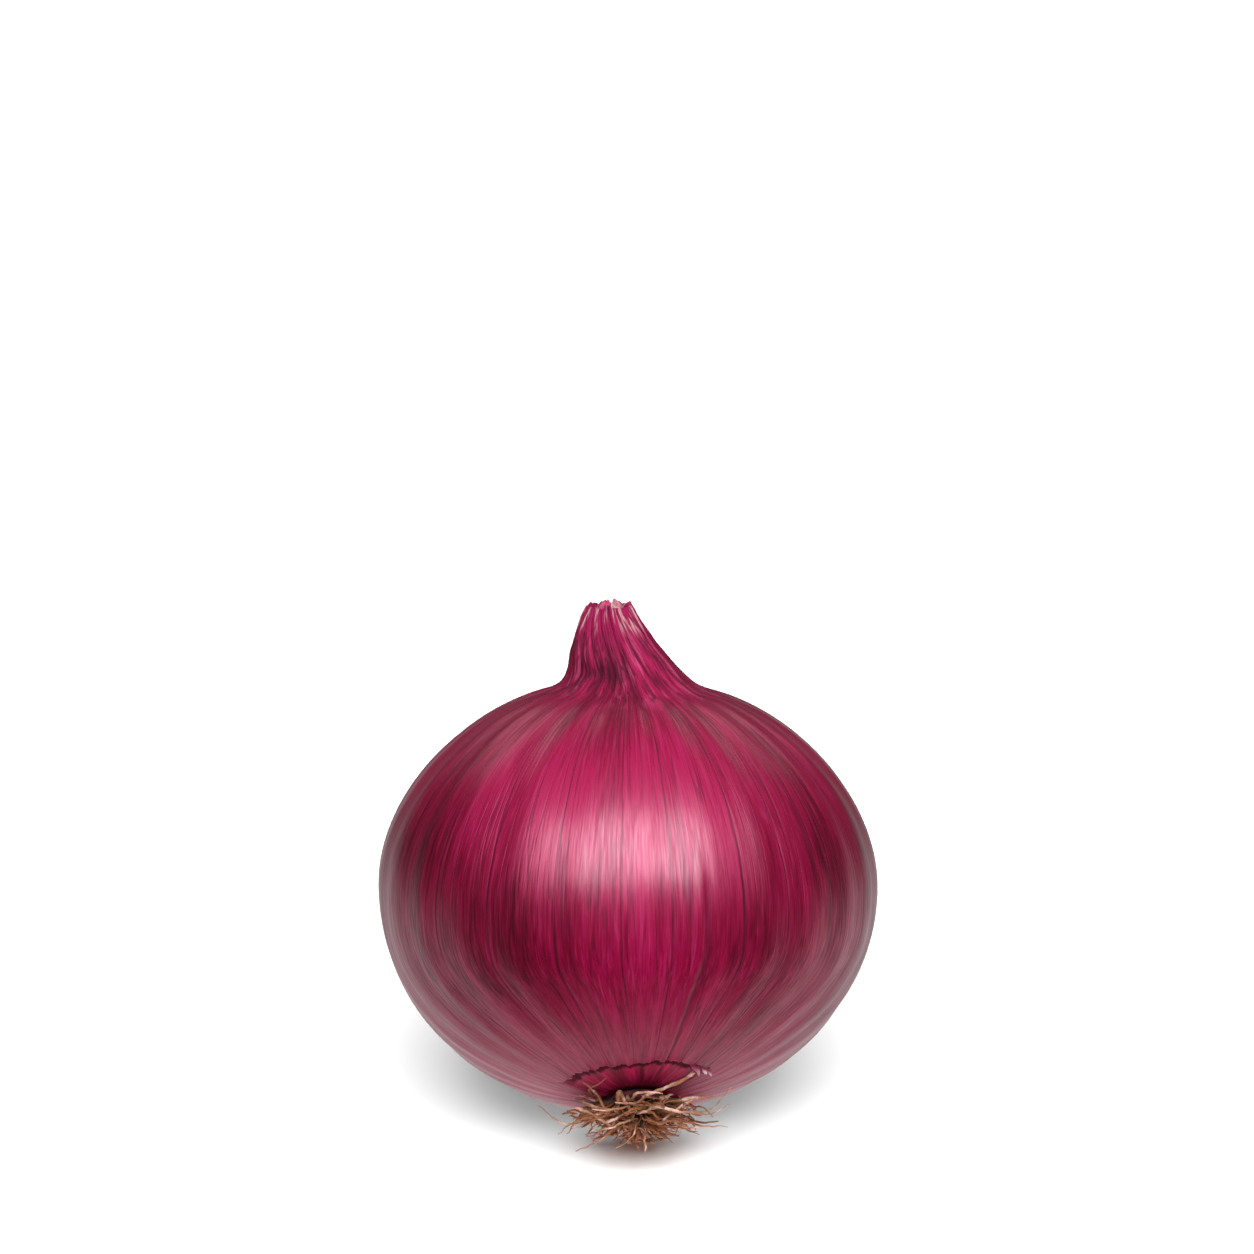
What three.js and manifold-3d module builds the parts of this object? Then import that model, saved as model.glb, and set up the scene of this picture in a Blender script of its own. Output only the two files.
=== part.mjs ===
// A cured red onion: one solid for the bulb with its dry skin and neck, one for the root tuft under it.
// Millimetres and degrees, +Z up. The onion rests on z = 0 with its neck leaning back to +Y and its
// root end turned forward to -Y.
import * as THREE from "three";
import { mergeVertices } from "three/addons/utils/BufferGeometryUtils.js";
import Module from "manifold-3d";

// Half outline of the bulb and neck, as radius and height from the widest ring
const EQUATOR_RADIUS = 39;
const BASE_DEPTH = 35.3;
const BASE_FULLNESS = 0.56;
const EQUATOR_HANDLE = 13.4;
const SHOULDER_RADIUS = 12.6;
const SHOULDER_HEIGHT = 30.7;
const SHOULDER_RISE = 14.8;
const SHOULDER_HANDLE_OUT = 14.8;
const SHOULDER_HANDLE_IN = 4.6;
const NECK_HANDLE_RADIUS = 7.2;
const NECK_HANDLE_HEIGHT = 36.3;
const RIM_RADIUS = 3;
const RIM_HEIGHT = 43.8;

// Posture: sideways lean of the neck, forward bend of the root end and its bearing off straight
// forward, tip of the whole onion, and the place of the widest ring's centre over the flat spot
const NECK_LEAN = -3.2;
const ROOT_BEND = 26;
const ROOT_BEARING = 6;
const LEAN_BACK = 17;
const CENTRE_FORWARD = 2.73;
const CENTRE_HEIGHT = 36.07;

// Relief of the dry skin, with its torn lower edge a step above the scale under it; the edge is far
// from the roots only in front, where a piece of the skin is gone
const SKIN_STEP = 0.7;
const TEAR_DISTANCE = 15.2;
const TEAR_BEARING = -94;
const TEAR_MARGIN = 1.8;
const TEAR_RAGGED = 0.8;
const TEAR_CURL = 0.3;
const RIB_COUNT = 30;
const RIB_HEIGHT = 0.13;
const PLEAT_COUNT = 15;
const PLEAT_DEPTH = 0.55;
const RIM_RAGGED = 1.9;
const MOUTH_WALL = 0.9;
const MOUTH_DEPTH = 2.4;
const LEAF_TIP_COUNT = 5;
const LEAF_TIP_LENGTH = 4.6;
const LEAF_TIP_RADIUS = 1.7;

// Stem plate and roots; the plate sits in a shallow seat with a small gap all round
const SEAT_RADIUS = 4.8;
const SEAT_DEPTH = 2.2;
const PLATE_GAP = 0.35;
const PLATE_NOSE = 0.6;
const ROOT_COUNT = 74;
const ROOT_RADIUS = 0.46;
const ROOT_TIP_RADIUS = 0.22;
const ROOT_SUNK = 1.1;
const FLOOR_GAP = 0.3;
const SEED = 41;

// Mesh steps
const TURNS = 60;
const BAND_RINGS = 3;
const SKIN_RINGS = 30;
const NECK_RINGS = 12;
const ROOT_SIDES = 4;
const ROOT_STEPS = 5;

const SKIN_COLOUR = 0x96184a;
const ROOT_COLOUR = 0xb08a5c;

const { degToRad, lerp, seededRandom, smoothstep } = THREE.MathUtils;
const X_AXIS = new THREE.Vector3(1, 0, 0);
const BEND_AXIS = new THREE.Vector3(1, 0, 0).applyEuler(new THREE.Euler(0, 0, degToRad(ROOT_BEARING)));
const GOLDEN_ANGLE = Math.PI * (3 - Math.sqrt(5));

const wasm = await Module();
wasm.setup();

function halfOutline() {
  const run = new THREE.Vector2(-1, 0).rotateAround(new THREE.Vector2(), -degToRad(SHOULDER_RISE));
  const pole = new THREE.Vector2(0, -BASE_DEPTH);
  const poleHandle = new THREE.Vector2(BASE_FULLNESS * EQUATOR_RADIUS, -BASE_DEPTH);
  const lowHandle = new THREE.Vector2(EQUATOR_RADIUS, -BASE_FULLNESS * BASE_DEPTH);
  const equator = new THREE.Vector2(EQUATOR_RADIUS, 0);
  const highHandle = new THREE.Vector2(EQUATOR_RADIUS, EQUATOR_HANDLE);
  const shoulder = new THREE.Vector2(SHOULDER_RADIUS, SHOULDER_HEIGHT);
  const outHandle = shoulder.clone().addScaledVector(run, -SHOULDER_HANDLE_OUT);
  const inHandle = shoulder.clone().addScaledVector(run, SHOULDER_HANDLE_IN);
  const neckHandle = new THREE.Vector2(NECK_HANDLE_RADIUS, NECK_HANDLE_HEIGHT);
  const rim = new THREE.Vector2(RIM_RADIUS, RIM_HEIGHT);
  const path = new THREE.CurvePath();
  path.add(new THREE.CubicBezierCurve(pole, poleHandle, lowHandle, equator));
  path.add(new THREE.CubicBezierCurve(equator, highHandle, outHandle, shoulder));
  path.add(new THREE.CubicBezierCurve(shoulder, inHandle, neckHandle, rim));
  return path;
}

const outline = halfOutline();
const [, shoulderDistance, rimDistance] = outline.getCurveLengths();

// Bends the root end forward, tips the onion back and moves the neck aside.
function posed(point) {
  const bend = degToRad(ROOT_BEND) * smoothstep(-point.z, 0, BASE_DEPTH);
  point.x += NECK_LEAN * smoothstep(point.z, SHOULDER_HEIGHT, RIM_HEIGHT);
  return point.applyAxisAngle(BEND_AXIS, -bend).applyAxisAngle(X_AXIS, -degToRad(LEAN_BACK));
}

function poseVertices(geometry) {
  const position = geometry.attributes.position;
  const point = new THREE.Vector3();
  for (let i = 0; i < position.count; i += 1) {
    posed(point.fromBufferAttribute(position, i));
    position.setXYZ(i, point.x, point.y, point.z);
  }
  return geometry;
}

// A surface point from the distance along the outline, the angle round the axis and the lift off it.
function surfacePoint(distance, turn, lift) {
  const share = distance / rimDistance;
  const spot = outline.getPoint(share);
  const run = outline.getTangent(share);
  const radius = spot.x + run.y * lift;
  return posed(new THREE.Vector3(
    radius * Math.cos(turn),
    radius * Math.sin(turn),
    spot.y - run.x * lift,
  ));
}

function tearDistance(turn) {
  const facing = Math.cos(turn - degToRad(TEAR_BEARING));
  const open = smoothstep(facing, 0.3, 0.62);
  const ragged = Math.cos(4 * turn + 0.6) + 0.7 * Math.cos(9 * turn + 2.1) + 0.6 * Math.cos(19 * turn);
  const edge = lerp(SEAT_RADIUS + TEAR_MARGIN, TEAR_DISTANCE, open);
  return edge + TEAR_RAGGED * lerp(0.5, 1, open) * ragged / 2.3;
}

function rimEdge(turn) {
  const ragged = Math.cos(2 * turn - 1.2) + 0.9 * Math.cos(5 * turn + 0.4) + 0.7 * Math.cos(12 * turn);
  return rimDistance - RIM_RAGGED * (0.5 + ragged / 5.2);
}

// The torn edge curls out a little, lengthwise ribs fade in above it, and pleats deepen up the neck.
function relief(distance, turn) {
  const tear = tearDistance(turn);
  const low = smoothstep(distance, tear, tear + 12);
  const neck = smoothstep(distance, shoulderDistance - 4, rimDistance);
  const curl = TEAR_CURL * (1 - smoothstep(distance, tear, tear + 4));
  const rib = RIB_HEIGHT * low * Math.cos(RIB_COUNT * turn);
  const wander = 0.7 * Math.cos(2 * turn + 1) + 0.5 * Math.cos(3 * turn);
  return curl + rib + PLEAT_DEPTH * neck * Math.cos(PLEAT_COUNT * turn + wander);
}

function seatPoint(radius, turn) {
  const height = SEAT_DEPTH - BASE_DEPTH;
  return posed(new THREE.Vector3(radius * Math.cos(turn), radius * Math.sin(turn), height));
}

// Rings from the root seat over the scale, the torn edge and the skin into the mouth of the neck.
function bulbRings() {
  const rings = [(turn) => seatPoint(SEAT_RADIUS, turn)];
  for (let i = 0; i <= BAND_RINGS; i += 1) {
    rings.push((turn) => {
      const distance = lerp(SEAT_RADIUS + 0.4, tearDistance(turn), i / BAND_RINGS);
      return surfacePoint(distance, turn, -SKIN_STEP);
    });
  }
  for (let i = 0; i <= SKIN_RINGS; i += 1) {
    rings.push((turn) => {
      const distance = lerp(tearDistance(turn), shoulderDistance, i / SKIN_RINGS);
      return surfacePoint(distance, turn, relief(distance, turn));
    });
  }
  for (let i = 1; i <= NECK_RINGS; i += 1) {
    rings.push((turn) => {
      const distance = lerp(shoulderDistance, rimEdge(turn), i / NECK_RINGS);
      return surfacePoint(distance, turn, relief(distance, turn));
    });
  }
  for (const depth of [0, 0.5, 1]) {
    rings.push((turn) => {
      const distance = rimEdge(turn) - depth * MOUTH_DEPTH;
      const wall = MOUTH_WALL * (1 + depth);
      return surfacePoint(distance, turn, relief(distance, turn) - wall);
    });
  }
  return rings;
}

// A closed surface from rings of points and the two points that close its ends.
function ringSurface(rings, firstPole, lastPole) {
  const points = [firstPole];
  for (const ring of rings) {
    for (let j = 0; j < TURNS; j += 1) {
      points.push(ring(2 * Math.PI * j / TURNS));
    }
  }
  points.push(lastPole);
  const last = points.length - 1;
  const faces = [];
  for (let j = 0; j < TURNS; j += 1) {
    const next = (j + 1) % TURNS;
    faces.push(0, 1 + next, 1 + j);
    for (let i = 0; i + 1 < rings.length; i += 1) {
      const low = 1 + i * TURNS;
      const high = low + TURNS;
      faces.push(low + j, low + next, high + next, low + j, high + next, high + j);
    }
    faces.push(last, last - TURNS + j, last - TURNS + next);
  }
  const geometry = new THREE.BufferGeometry().setFromPoints(points);
  geometry.setIndex(faces);
  return geometry;
}

function solidOf(geometry) {
  const bare = geometry.clone();
  bare.deleteAttribute("normal");
  bare.deleteAttribute("uv");
  const welded = mergeVertices(bare);
  return new wasm.Manifold(new wasm.Mesh({
    numProp: 3,
    vertProperties: new Float32Array(welded.attributes.position.array),
    triVerts: new Uint32Array(welded.index.array),
  }));
}

function geometryOf(solid) {
  const mesh = solid.getMesh();
  const geometry = new THREE.BufferGeometry();
  geometry.setAttribute("position", new THREE.BufferAttribute(mesh.vertProperties, 3));
  geometry.setIndex(new THREE.BufferAttribute(mesh.triVerts, 1));
  geometry.computeVertexNormals();
  return geometry;
}

// One dry leaf tip, a flattened cone that stands up out of the neck's mouth.
function leafTip(index) {
  const bearing = index * GOLDEN_ANGLE;
  const length = LEAF_TIP_LENGTH + 0.7 * Math.cos(2 * bearing);
  const blade = new THREE.CylinderGeometry(0.5, 1.5, length, 6, 1);
  blade.rotateX(Math.PI / 2);
  blade.scale(1, 0.66, 1);
  blade.rotateX(-0.14);
  blade.translate(0, LEAF_TIP_RADIUS, RIM_HEIGHT - MOUTH_DEPTH - RIM_RAGGED + length / 2 - 1);
  blade.rotateZ(bearing);
  return solidOf(poseVertices(blade));
}

function bulbGeometry(skin) {
  const blades = Array.from({ length: LEAF_TIP_COUNT }, (_, index) => leafTip(index));
  const block = new THREE.BoxGeometry(4 * EQUATOR_RADIUS, 4 * EQUATOR_RADIUS, EQUATOR_RADIUS);
  block.translate(0, 0, -CENTRE_HEIGHT - EQUATOR_RADIUS / 2);
  const whole = wasm.Manifold.union([solidOf(skin), ...blades]);
  return geometryOf(whole.subtract(solidOf(block)));
}

// A point by its distance from the root axis, its bearing and its drop below the root pole.
function rootPoint(radius, bearing, drop) {
  return posed(new THREE.Vector3(
    radius * Math.cos(bearing),
    radius * Math.sin(bearing),
    -BASE_DEPTH - drop,
  ));
}

function stemPlate() {
  const back = BASE_DEPTH - SEAT_DEPTH + PLATE_GAP;
  const radius = SEAT_RADIUS - PLATE_GAP;
  const profile = [
    new THREE.Vector2(0, -BASE_DEPTH - PLATE_NOSE),
    new THREE.Vector2(0.55 * radius, -BASE_DEPTH - 0.5 * PLATE_NOSE),
    new THREE.Vector2(0.9 * radius, -BASE_DEPTH + 1.1),
    new THREE.Vector2(radius, -back - 0.5),
    new THREE.Vector2(radius, -back),
    new THREE.Vector2(0, -back),
  ];
  const plate = new THREE.LatheGeometry(profile, 28);
  plate.rotateX(Math.PI / 2);
  return solidOf(poseVertices(plate));
}

// The middle line of one root: out of the plate, then outward and down, and no lower than the floor.
function rootLine(index) {
  const share = (index + 0.5) / ROOT_COUNT;
  const start = 0.88 * (SEAT_RADIUS - PLATE_GAP) * Math.sqrt(share);
  const bearing = index * GOLDEN_ANGLE;
  const sway = 0.9 * (seededRandom() - 0.5);
  const reach = start + lerp(6.5, 12.5, seededRandom()) * (0.35 + 0.65 * share);
  const drop = lerp(4.6, 1.1, share) * lerp(0.75, 1.15, seededRandom());
  const sag = lerp(0, 2.4, seededRandom());
  const stations = [
    rootPoint(start, bearing, -ROOT_SUNK),
    rootPoint(start + 0.12 * (reach - start), bearing + 0.15 * sway, 0.5 * drop),
    rootPoint(lerp(start, reach, 0.55), bearing + 0.6 * sway, 0.92 * drop),
    rootPoint(reach, bearing + 1.1 * sway, drop),
  ];
  stations.forEach((station, k) => {
    const fallen = station.z - sag * (k / 3) ** 2;
    station.z = Math.max(fallen, FLOOR_GAP + ROOT_RADIUS - CENTRE_HEIGHT);
  });
  return new THREE.CatmullRomCurve3(stations);
}

function root(index) {
  const line = rootLine(index);
  const frames = line.computeFrenetFrames(ROOT_STEPS);
  const tube = new THREE.CylinderGeometry(ROOT_TIP_RADIUS, ROOT_RADIUS, 1, ROOT_SIDES, ROOT_STEPS);
  const position = tube.attributes.position;
  for (let i = 0; i < position.count; i += 1) {
    const step = Math.round((position.getY(i) + 0.5) * ROOT_STEPS);
    const spot = line.getPointAt(step / ROOT_STEPS);
    spot.addScaledVector(frames.normals[step], position.getX(i));
    spot.addScaledVector(frames.binormals[step], -position.getZ(i));
    position.setXYZ(i, spot.x, spot.y, spot.z);
  }
  return solidOf(tube);
}

function tuftGeometry() {
  seededRandom(SEED);
  const roots = Array.from({ length: ROOT_COUNT }, (_, index) => root(index));
  return geometryOf(wasm.Manifold.union([stemPlate(), ...roots]));
}

function namedMesh(name, geometry, colour, roughness) {
  const material = new THREE.MeshStandardMaterial({ color: colour, roughness, metalness: 0 });
  const mesh = new THREE.Mesh(geometry, material);
  mesh.name = name;
  return mesh;
}

const seatPole = posed(new THREE.Vector3(0, 0, SEAT_DEPTH - BASE_DEPTH));
const mouthPole = posed(new THREE.Vector3(0, 0, RIM_HEIGHT - MOUTH_DEPTH - RIM_RAGGED));
const skin = ringSurface(bulbRings(), seatPole, mouthPole);
const bulb = namedMesh("bulb", bulbGeometry(skin), SKIN_COLOUR, 0.38);
const tuft = namedMesh("root_tuft", tuftGeometry(), ROOT_COLOUR, 0.8);

const onion = new THREE.Group();
onion.add(bulb, tuft);
onion.position.set(0, -CENTRE_FORWARD, CENTRE_HEIGHT);

export default onion;
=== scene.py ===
"""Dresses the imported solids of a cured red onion.

Each piece is made by a geometry node tree from the sizes in its class, in millimetres, in the onion's own
upright frame. The onion's shape then bends and leans it into the frame of the solids, in metres.
"""
import logging
import math
from dataclasses import dataclass, field
from enum import Enum
from typing import Mapping, Optional, Sequence, Tuple, Union

import bpy
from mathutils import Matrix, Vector
from mathutils.geometry import interpolate_bezier


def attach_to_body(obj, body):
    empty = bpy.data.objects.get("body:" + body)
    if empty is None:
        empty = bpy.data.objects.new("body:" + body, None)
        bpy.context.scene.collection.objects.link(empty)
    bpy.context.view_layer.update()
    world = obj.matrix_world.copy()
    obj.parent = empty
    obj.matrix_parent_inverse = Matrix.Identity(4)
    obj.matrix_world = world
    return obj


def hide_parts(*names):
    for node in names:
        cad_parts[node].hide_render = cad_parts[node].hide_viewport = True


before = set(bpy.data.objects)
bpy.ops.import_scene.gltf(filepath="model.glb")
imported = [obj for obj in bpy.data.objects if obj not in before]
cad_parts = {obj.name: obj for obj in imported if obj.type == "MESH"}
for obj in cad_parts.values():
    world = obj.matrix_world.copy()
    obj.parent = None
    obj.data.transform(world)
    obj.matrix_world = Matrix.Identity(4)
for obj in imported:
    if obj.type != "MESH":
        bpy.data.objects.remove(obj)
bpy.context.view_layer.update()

LOG = logging.getLogger("onion")
MM = 0.001
TAU = 2 * math.pi
GOLDEN_ANGLE = math.pi * (3 - math.sqrt(5))
WELD_GAP = 2e-6

Colour = Tuple[float, float, float, float]
Value = Union["Field", float, int]


class Slot(Enum):
    """The record's material slots."""

    SKIN = "onion_skin"
    ROOT = "dry_root"


class Node(Enum):
    """The solids that the pieces stand for."""

    BULB = "bulb"
    TUFT = "root_tuft"


def tone(code: str) -> Colour:
    """Turns a screen colour into a linear one.

    Args:
        code: six hexadecimal digits, red, green and blue.

    Returns:
        The linear colour with an alpha of one.
    """
    parts = [int(code[i:i + 2], 16) / 255 for i in (0, 2, 4)]
    red, green, blue = ((p / 12.92) if p <= 0.04045 else ((p + 0.055) / 1.055) ** 2.4 for p in parts)
    return red, green, blue, 1.0


def put(name: str, data: bpy.types.ID) -> bpy.types.Object:
    """Puts a new object in the scene.

    Args:
        name: the object's name.
        data: its mesh, curve, light or camera.

    Returns:
        The object.
    """
    thing = bpy.data.objects.new(name, data)
    bpy.context.scene.collection.objects.link(thing)
    return thing


class Field:
    """One output socket of a node tree; arithmetic on it adds Math nodes."""

    def __init__(self, graph: "Graph", socket: bpy.types.NodeSocket) -> None:
        """Keeps the socket and the graph that it belongs to."""
        self.graph = graph
        self.socket = socket

    def __add__(self, other: Value) -> "Field":
        """Adds a field or a number."""
        return self.graph.maths("ADD", self, other)

    __radd__ = __add__

    def __sub__(self, other: Value) -> "Field":
        """Takes a field or a number away."""
        return self.graph.maths("SUBTRACT", self, other)

    def __rsub__(self, other: Value) -> "Field":
        """Takes this field away from a number."""
        return self.graph.maths("SUBTRACT", other, self)

    def __mul__(self, other: Value) -> "Field":
        """Multiplies by a field or a number."""
        return self.graph.maths("MULTIPLY", self, other)

    __rmul__ = __mul__

    def __truediv__(self, other: Value) -> "Field":
        """Divides by a field or a number."""
        return self.graph.maths("DIVIDE", self, other)

    def __pow__(self, other: Value) -> "Field":
        """Raises to a power."""
        return self.graph.maths("POWER", self, other)

    def __neg__(self) -> "Field":
        """Turns the sign round."""
        return self.graph.maths("MULTIPLY", self, -1.0)

    def __abs__(self) -> "Field":
        """Drops the sign."""
        return self.graph.maths("ABSOLUTE", self)

    def sin(self) -> "Field":
        """Sine of an angle in radians."""
        return self.graph.maths("SINE", self)

    def cos(self) -> "Field":
        """Cosine of an angle in radians."""
        return self.graph.maths("COSINE", self)

    def exp(self) -> "Field":
        """Natural exponential."""
        return self.graph.maths("EXPONENT", self)

    def at_least(self, low: Value) -> "Field":
        """The larger of this field and another value."""
        return self.graph.maths("MAXIMUM", self, low)

    def at_most(self, high: Value) -> "Field":
        """The smaller of this field and another value."""
        return self.graph.maths("MINIMUM", self, high)

    def ease(self, start: Value, end: Value) -> "Field":
        """Smooth step from 0 at start to 1 at end; start may be the larger.

        Args:
            start: value where the step is 0.
            end: value where the step is 1.

        Returns:
            The eased field.
        """
        sockets = {"Value": self, "From Min": start, "From Max": end}
        return self.graph.read("ShaderNodeMapRange", {"interpolation_type": "SMOOTHSTEP"}, sockets, "Result")

    def bump(self, middle: Value, width: float) -> "Field":
        """Bell curve of height 1 round a middle value.

        Args:
            middle: where the bell is highest.
            width: distance at which it has fallen to about a third.

        Returns:
            The bell as a field.
        """
        away = (self - middle) / width
        return (-(away * away)).exp()


class Graph:
    """Adds nodes to one node tree and reads their outputs as fields."""

    def __init__(self, tree: bpy.types.NodeTree) -> None:
        """Keeps the tree that nodes are added to."""
        self.tree = tree

    def feed(self, socket: bpy.types.NodeSocket, value: object) -> None:
        """Links a field to an input, or gives the input a plain value.

        Args:
            socket: the input.
            value: the field or the value.
        """
        if isinstance(value, Field):
            self.tree.links.new(value.socket, socket)
        else:
            socket.default_value = value

    def node(
        self,
        kind: str,
        settings: Optional[Mapping[str, object]] = None,
        sockets: Optional[Mapping[str, object]] = None,
    ) -> bpy.types.Node:
        """Adds one node.

        Args:
            kind: the node's type.
            settings: its own settings, set before its sockets.
            sockets: values or fields for its inputs, by name; a list links several.

        Returns:
            The new node.
        """
        node = self.tree.nodes.new(kind)
        for name, value in (settings or {}).items():
            setattr(node, name, value)
        for name, value in (sockets or {}).items():
            socket = next(s for s in node.inputs if s.enabled and s.name == name)
            for item in value if isinstance(value, list) else [value]:
                self.feed(socket, item)
        return node

    def read(
        self,
        kind: str,
        settings: Optional[Mapping[str, object]],
        sockets: Optional[Mapping[str, object]],
        output: str,
    ) -> Field:
        """Adds one node and reads one of its outputs.

        Args:
            kind: the node's type.
            settings: its own settings.
            sockets: values or fields for its inputs.
            output: name of the output.

        Returns:
            The output as a field.
        """
        node = self.node(kind, settings, sockets)
        return Field(self, next(s for s in node.outputs if s.enabled and s.name == output))

    def maths(self, operation: str, *values: Value) -> Field:
        """Adds a Math node.

        Args:
            operation: the node's operation.
            *values: its inputs, in order.

        Returns:
            The result as a field.
        """
        node = self.tree.nodes.new("ShaderNodeMath")
        node.operation = operation
        for socket, value in zip(node.inputs, values):
            self.feed(socket, value)
        return Field(self, node.outputs[0])

    def vector(self, x: Value, y: Value, z: Value) -> Field:
        """Joins three values into a vector."""
        return self.read("ShaderNodeCombineXYZ", None, {"X": x, "Y": y, "Z": z}, "Vector")

    def split(self, vector: Field) -> Tuple[Field, Field, Field]:
        """Takes a vector apart into its three values."""
        node = self.node("ShaderNodeSeparateXYZ", None, {"Vector": vector})
        return Field(self, node.outputs[0]), Field(self, node.outputs[1]), Field(self, node.outputs[2])

    def noise(self, vector: Field, detail: float = 2.0, roughness: float = 0.5) -> Field:
        """Smooth random values from 0 to 1.

        Args:
            vector: where the noise is read, one unit a bump.
            detail: number of finer layers.
            roughness: share of the finer layers.

        Returns:
            The noise as a field.
        """
        sockets = {"Vector": vector, "Scale": 1.0, "Detail": detail, "Roughness": roughness}
        return self.read("ShaderNodeTexNoise", None, sockets, "Fac")

    def tint(self, factor: Value, base: object, top: object) -> Field:
        """Lays one colour over another.

        Args:
            factor: how much of the top colour shows.
            base: colour or field below.
            top: colour or field above.

        Returns:
            The mixed colour.
        """
        sockets = {"Factor": factor, "A": base, "B": top}
        return self.read("ShaderNodeMix", {"data_type": "RGBA"}, sockets, "Result")


@dataclass(frozen=True)
class Grain:
    """Where a point lies on the onion: the angle round its axis and the share along its outline."""

    graph: Graph
    around_x: Field
    around_y: Field
    turn: Field
    along: Value = 0.0

    def at(self, along: Field) -> "Grain":
        """The same angle at another share of the outline."""
        return Grain(self.graph, self.around_x, self.around_y, self.turn, along)

    def noise(
        self,
        around: float,
        along: float,
        offset: float = 0.0,
        detail: float = 1.0,
        roughness: float = 0.5,
    ) -> Field:
        """Noise that runs with the grain.

        Args:
            around: bumps across the axis; the larger, the narrower the streaks.
            along: bumps along the whole outline; 0 for none.
            offset: shift that makes one noise unlike another.
            detail: number of finer layers.
            roughness: share of the finer layers.

        Returns:
            The noise from 0 to 1.
        """
        shift = self.along * along + offset if along else offset
        spot = self.graph.vector(self.around_x * around, self.around_y * around, shift)
        return self.graph.noise(spot, detail, roughness)

    def facing(self, bearing: float) -> Field:
        """Cosine of the angle between the point and a bearing in degrees."""
        angle = math.radians(bearing)
        return self.around_x * math.cos(angle) + self.around_y * math.sin(angle)

    def vein_phase(self, count: int) -> Field:
        """Counts the veins round the onion, unevenly spaced; one lies at each whole number."""
        return self.turn * (count / TAU) + self.noise(2.1, 0.0, 3.7) * 1.6


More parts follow.
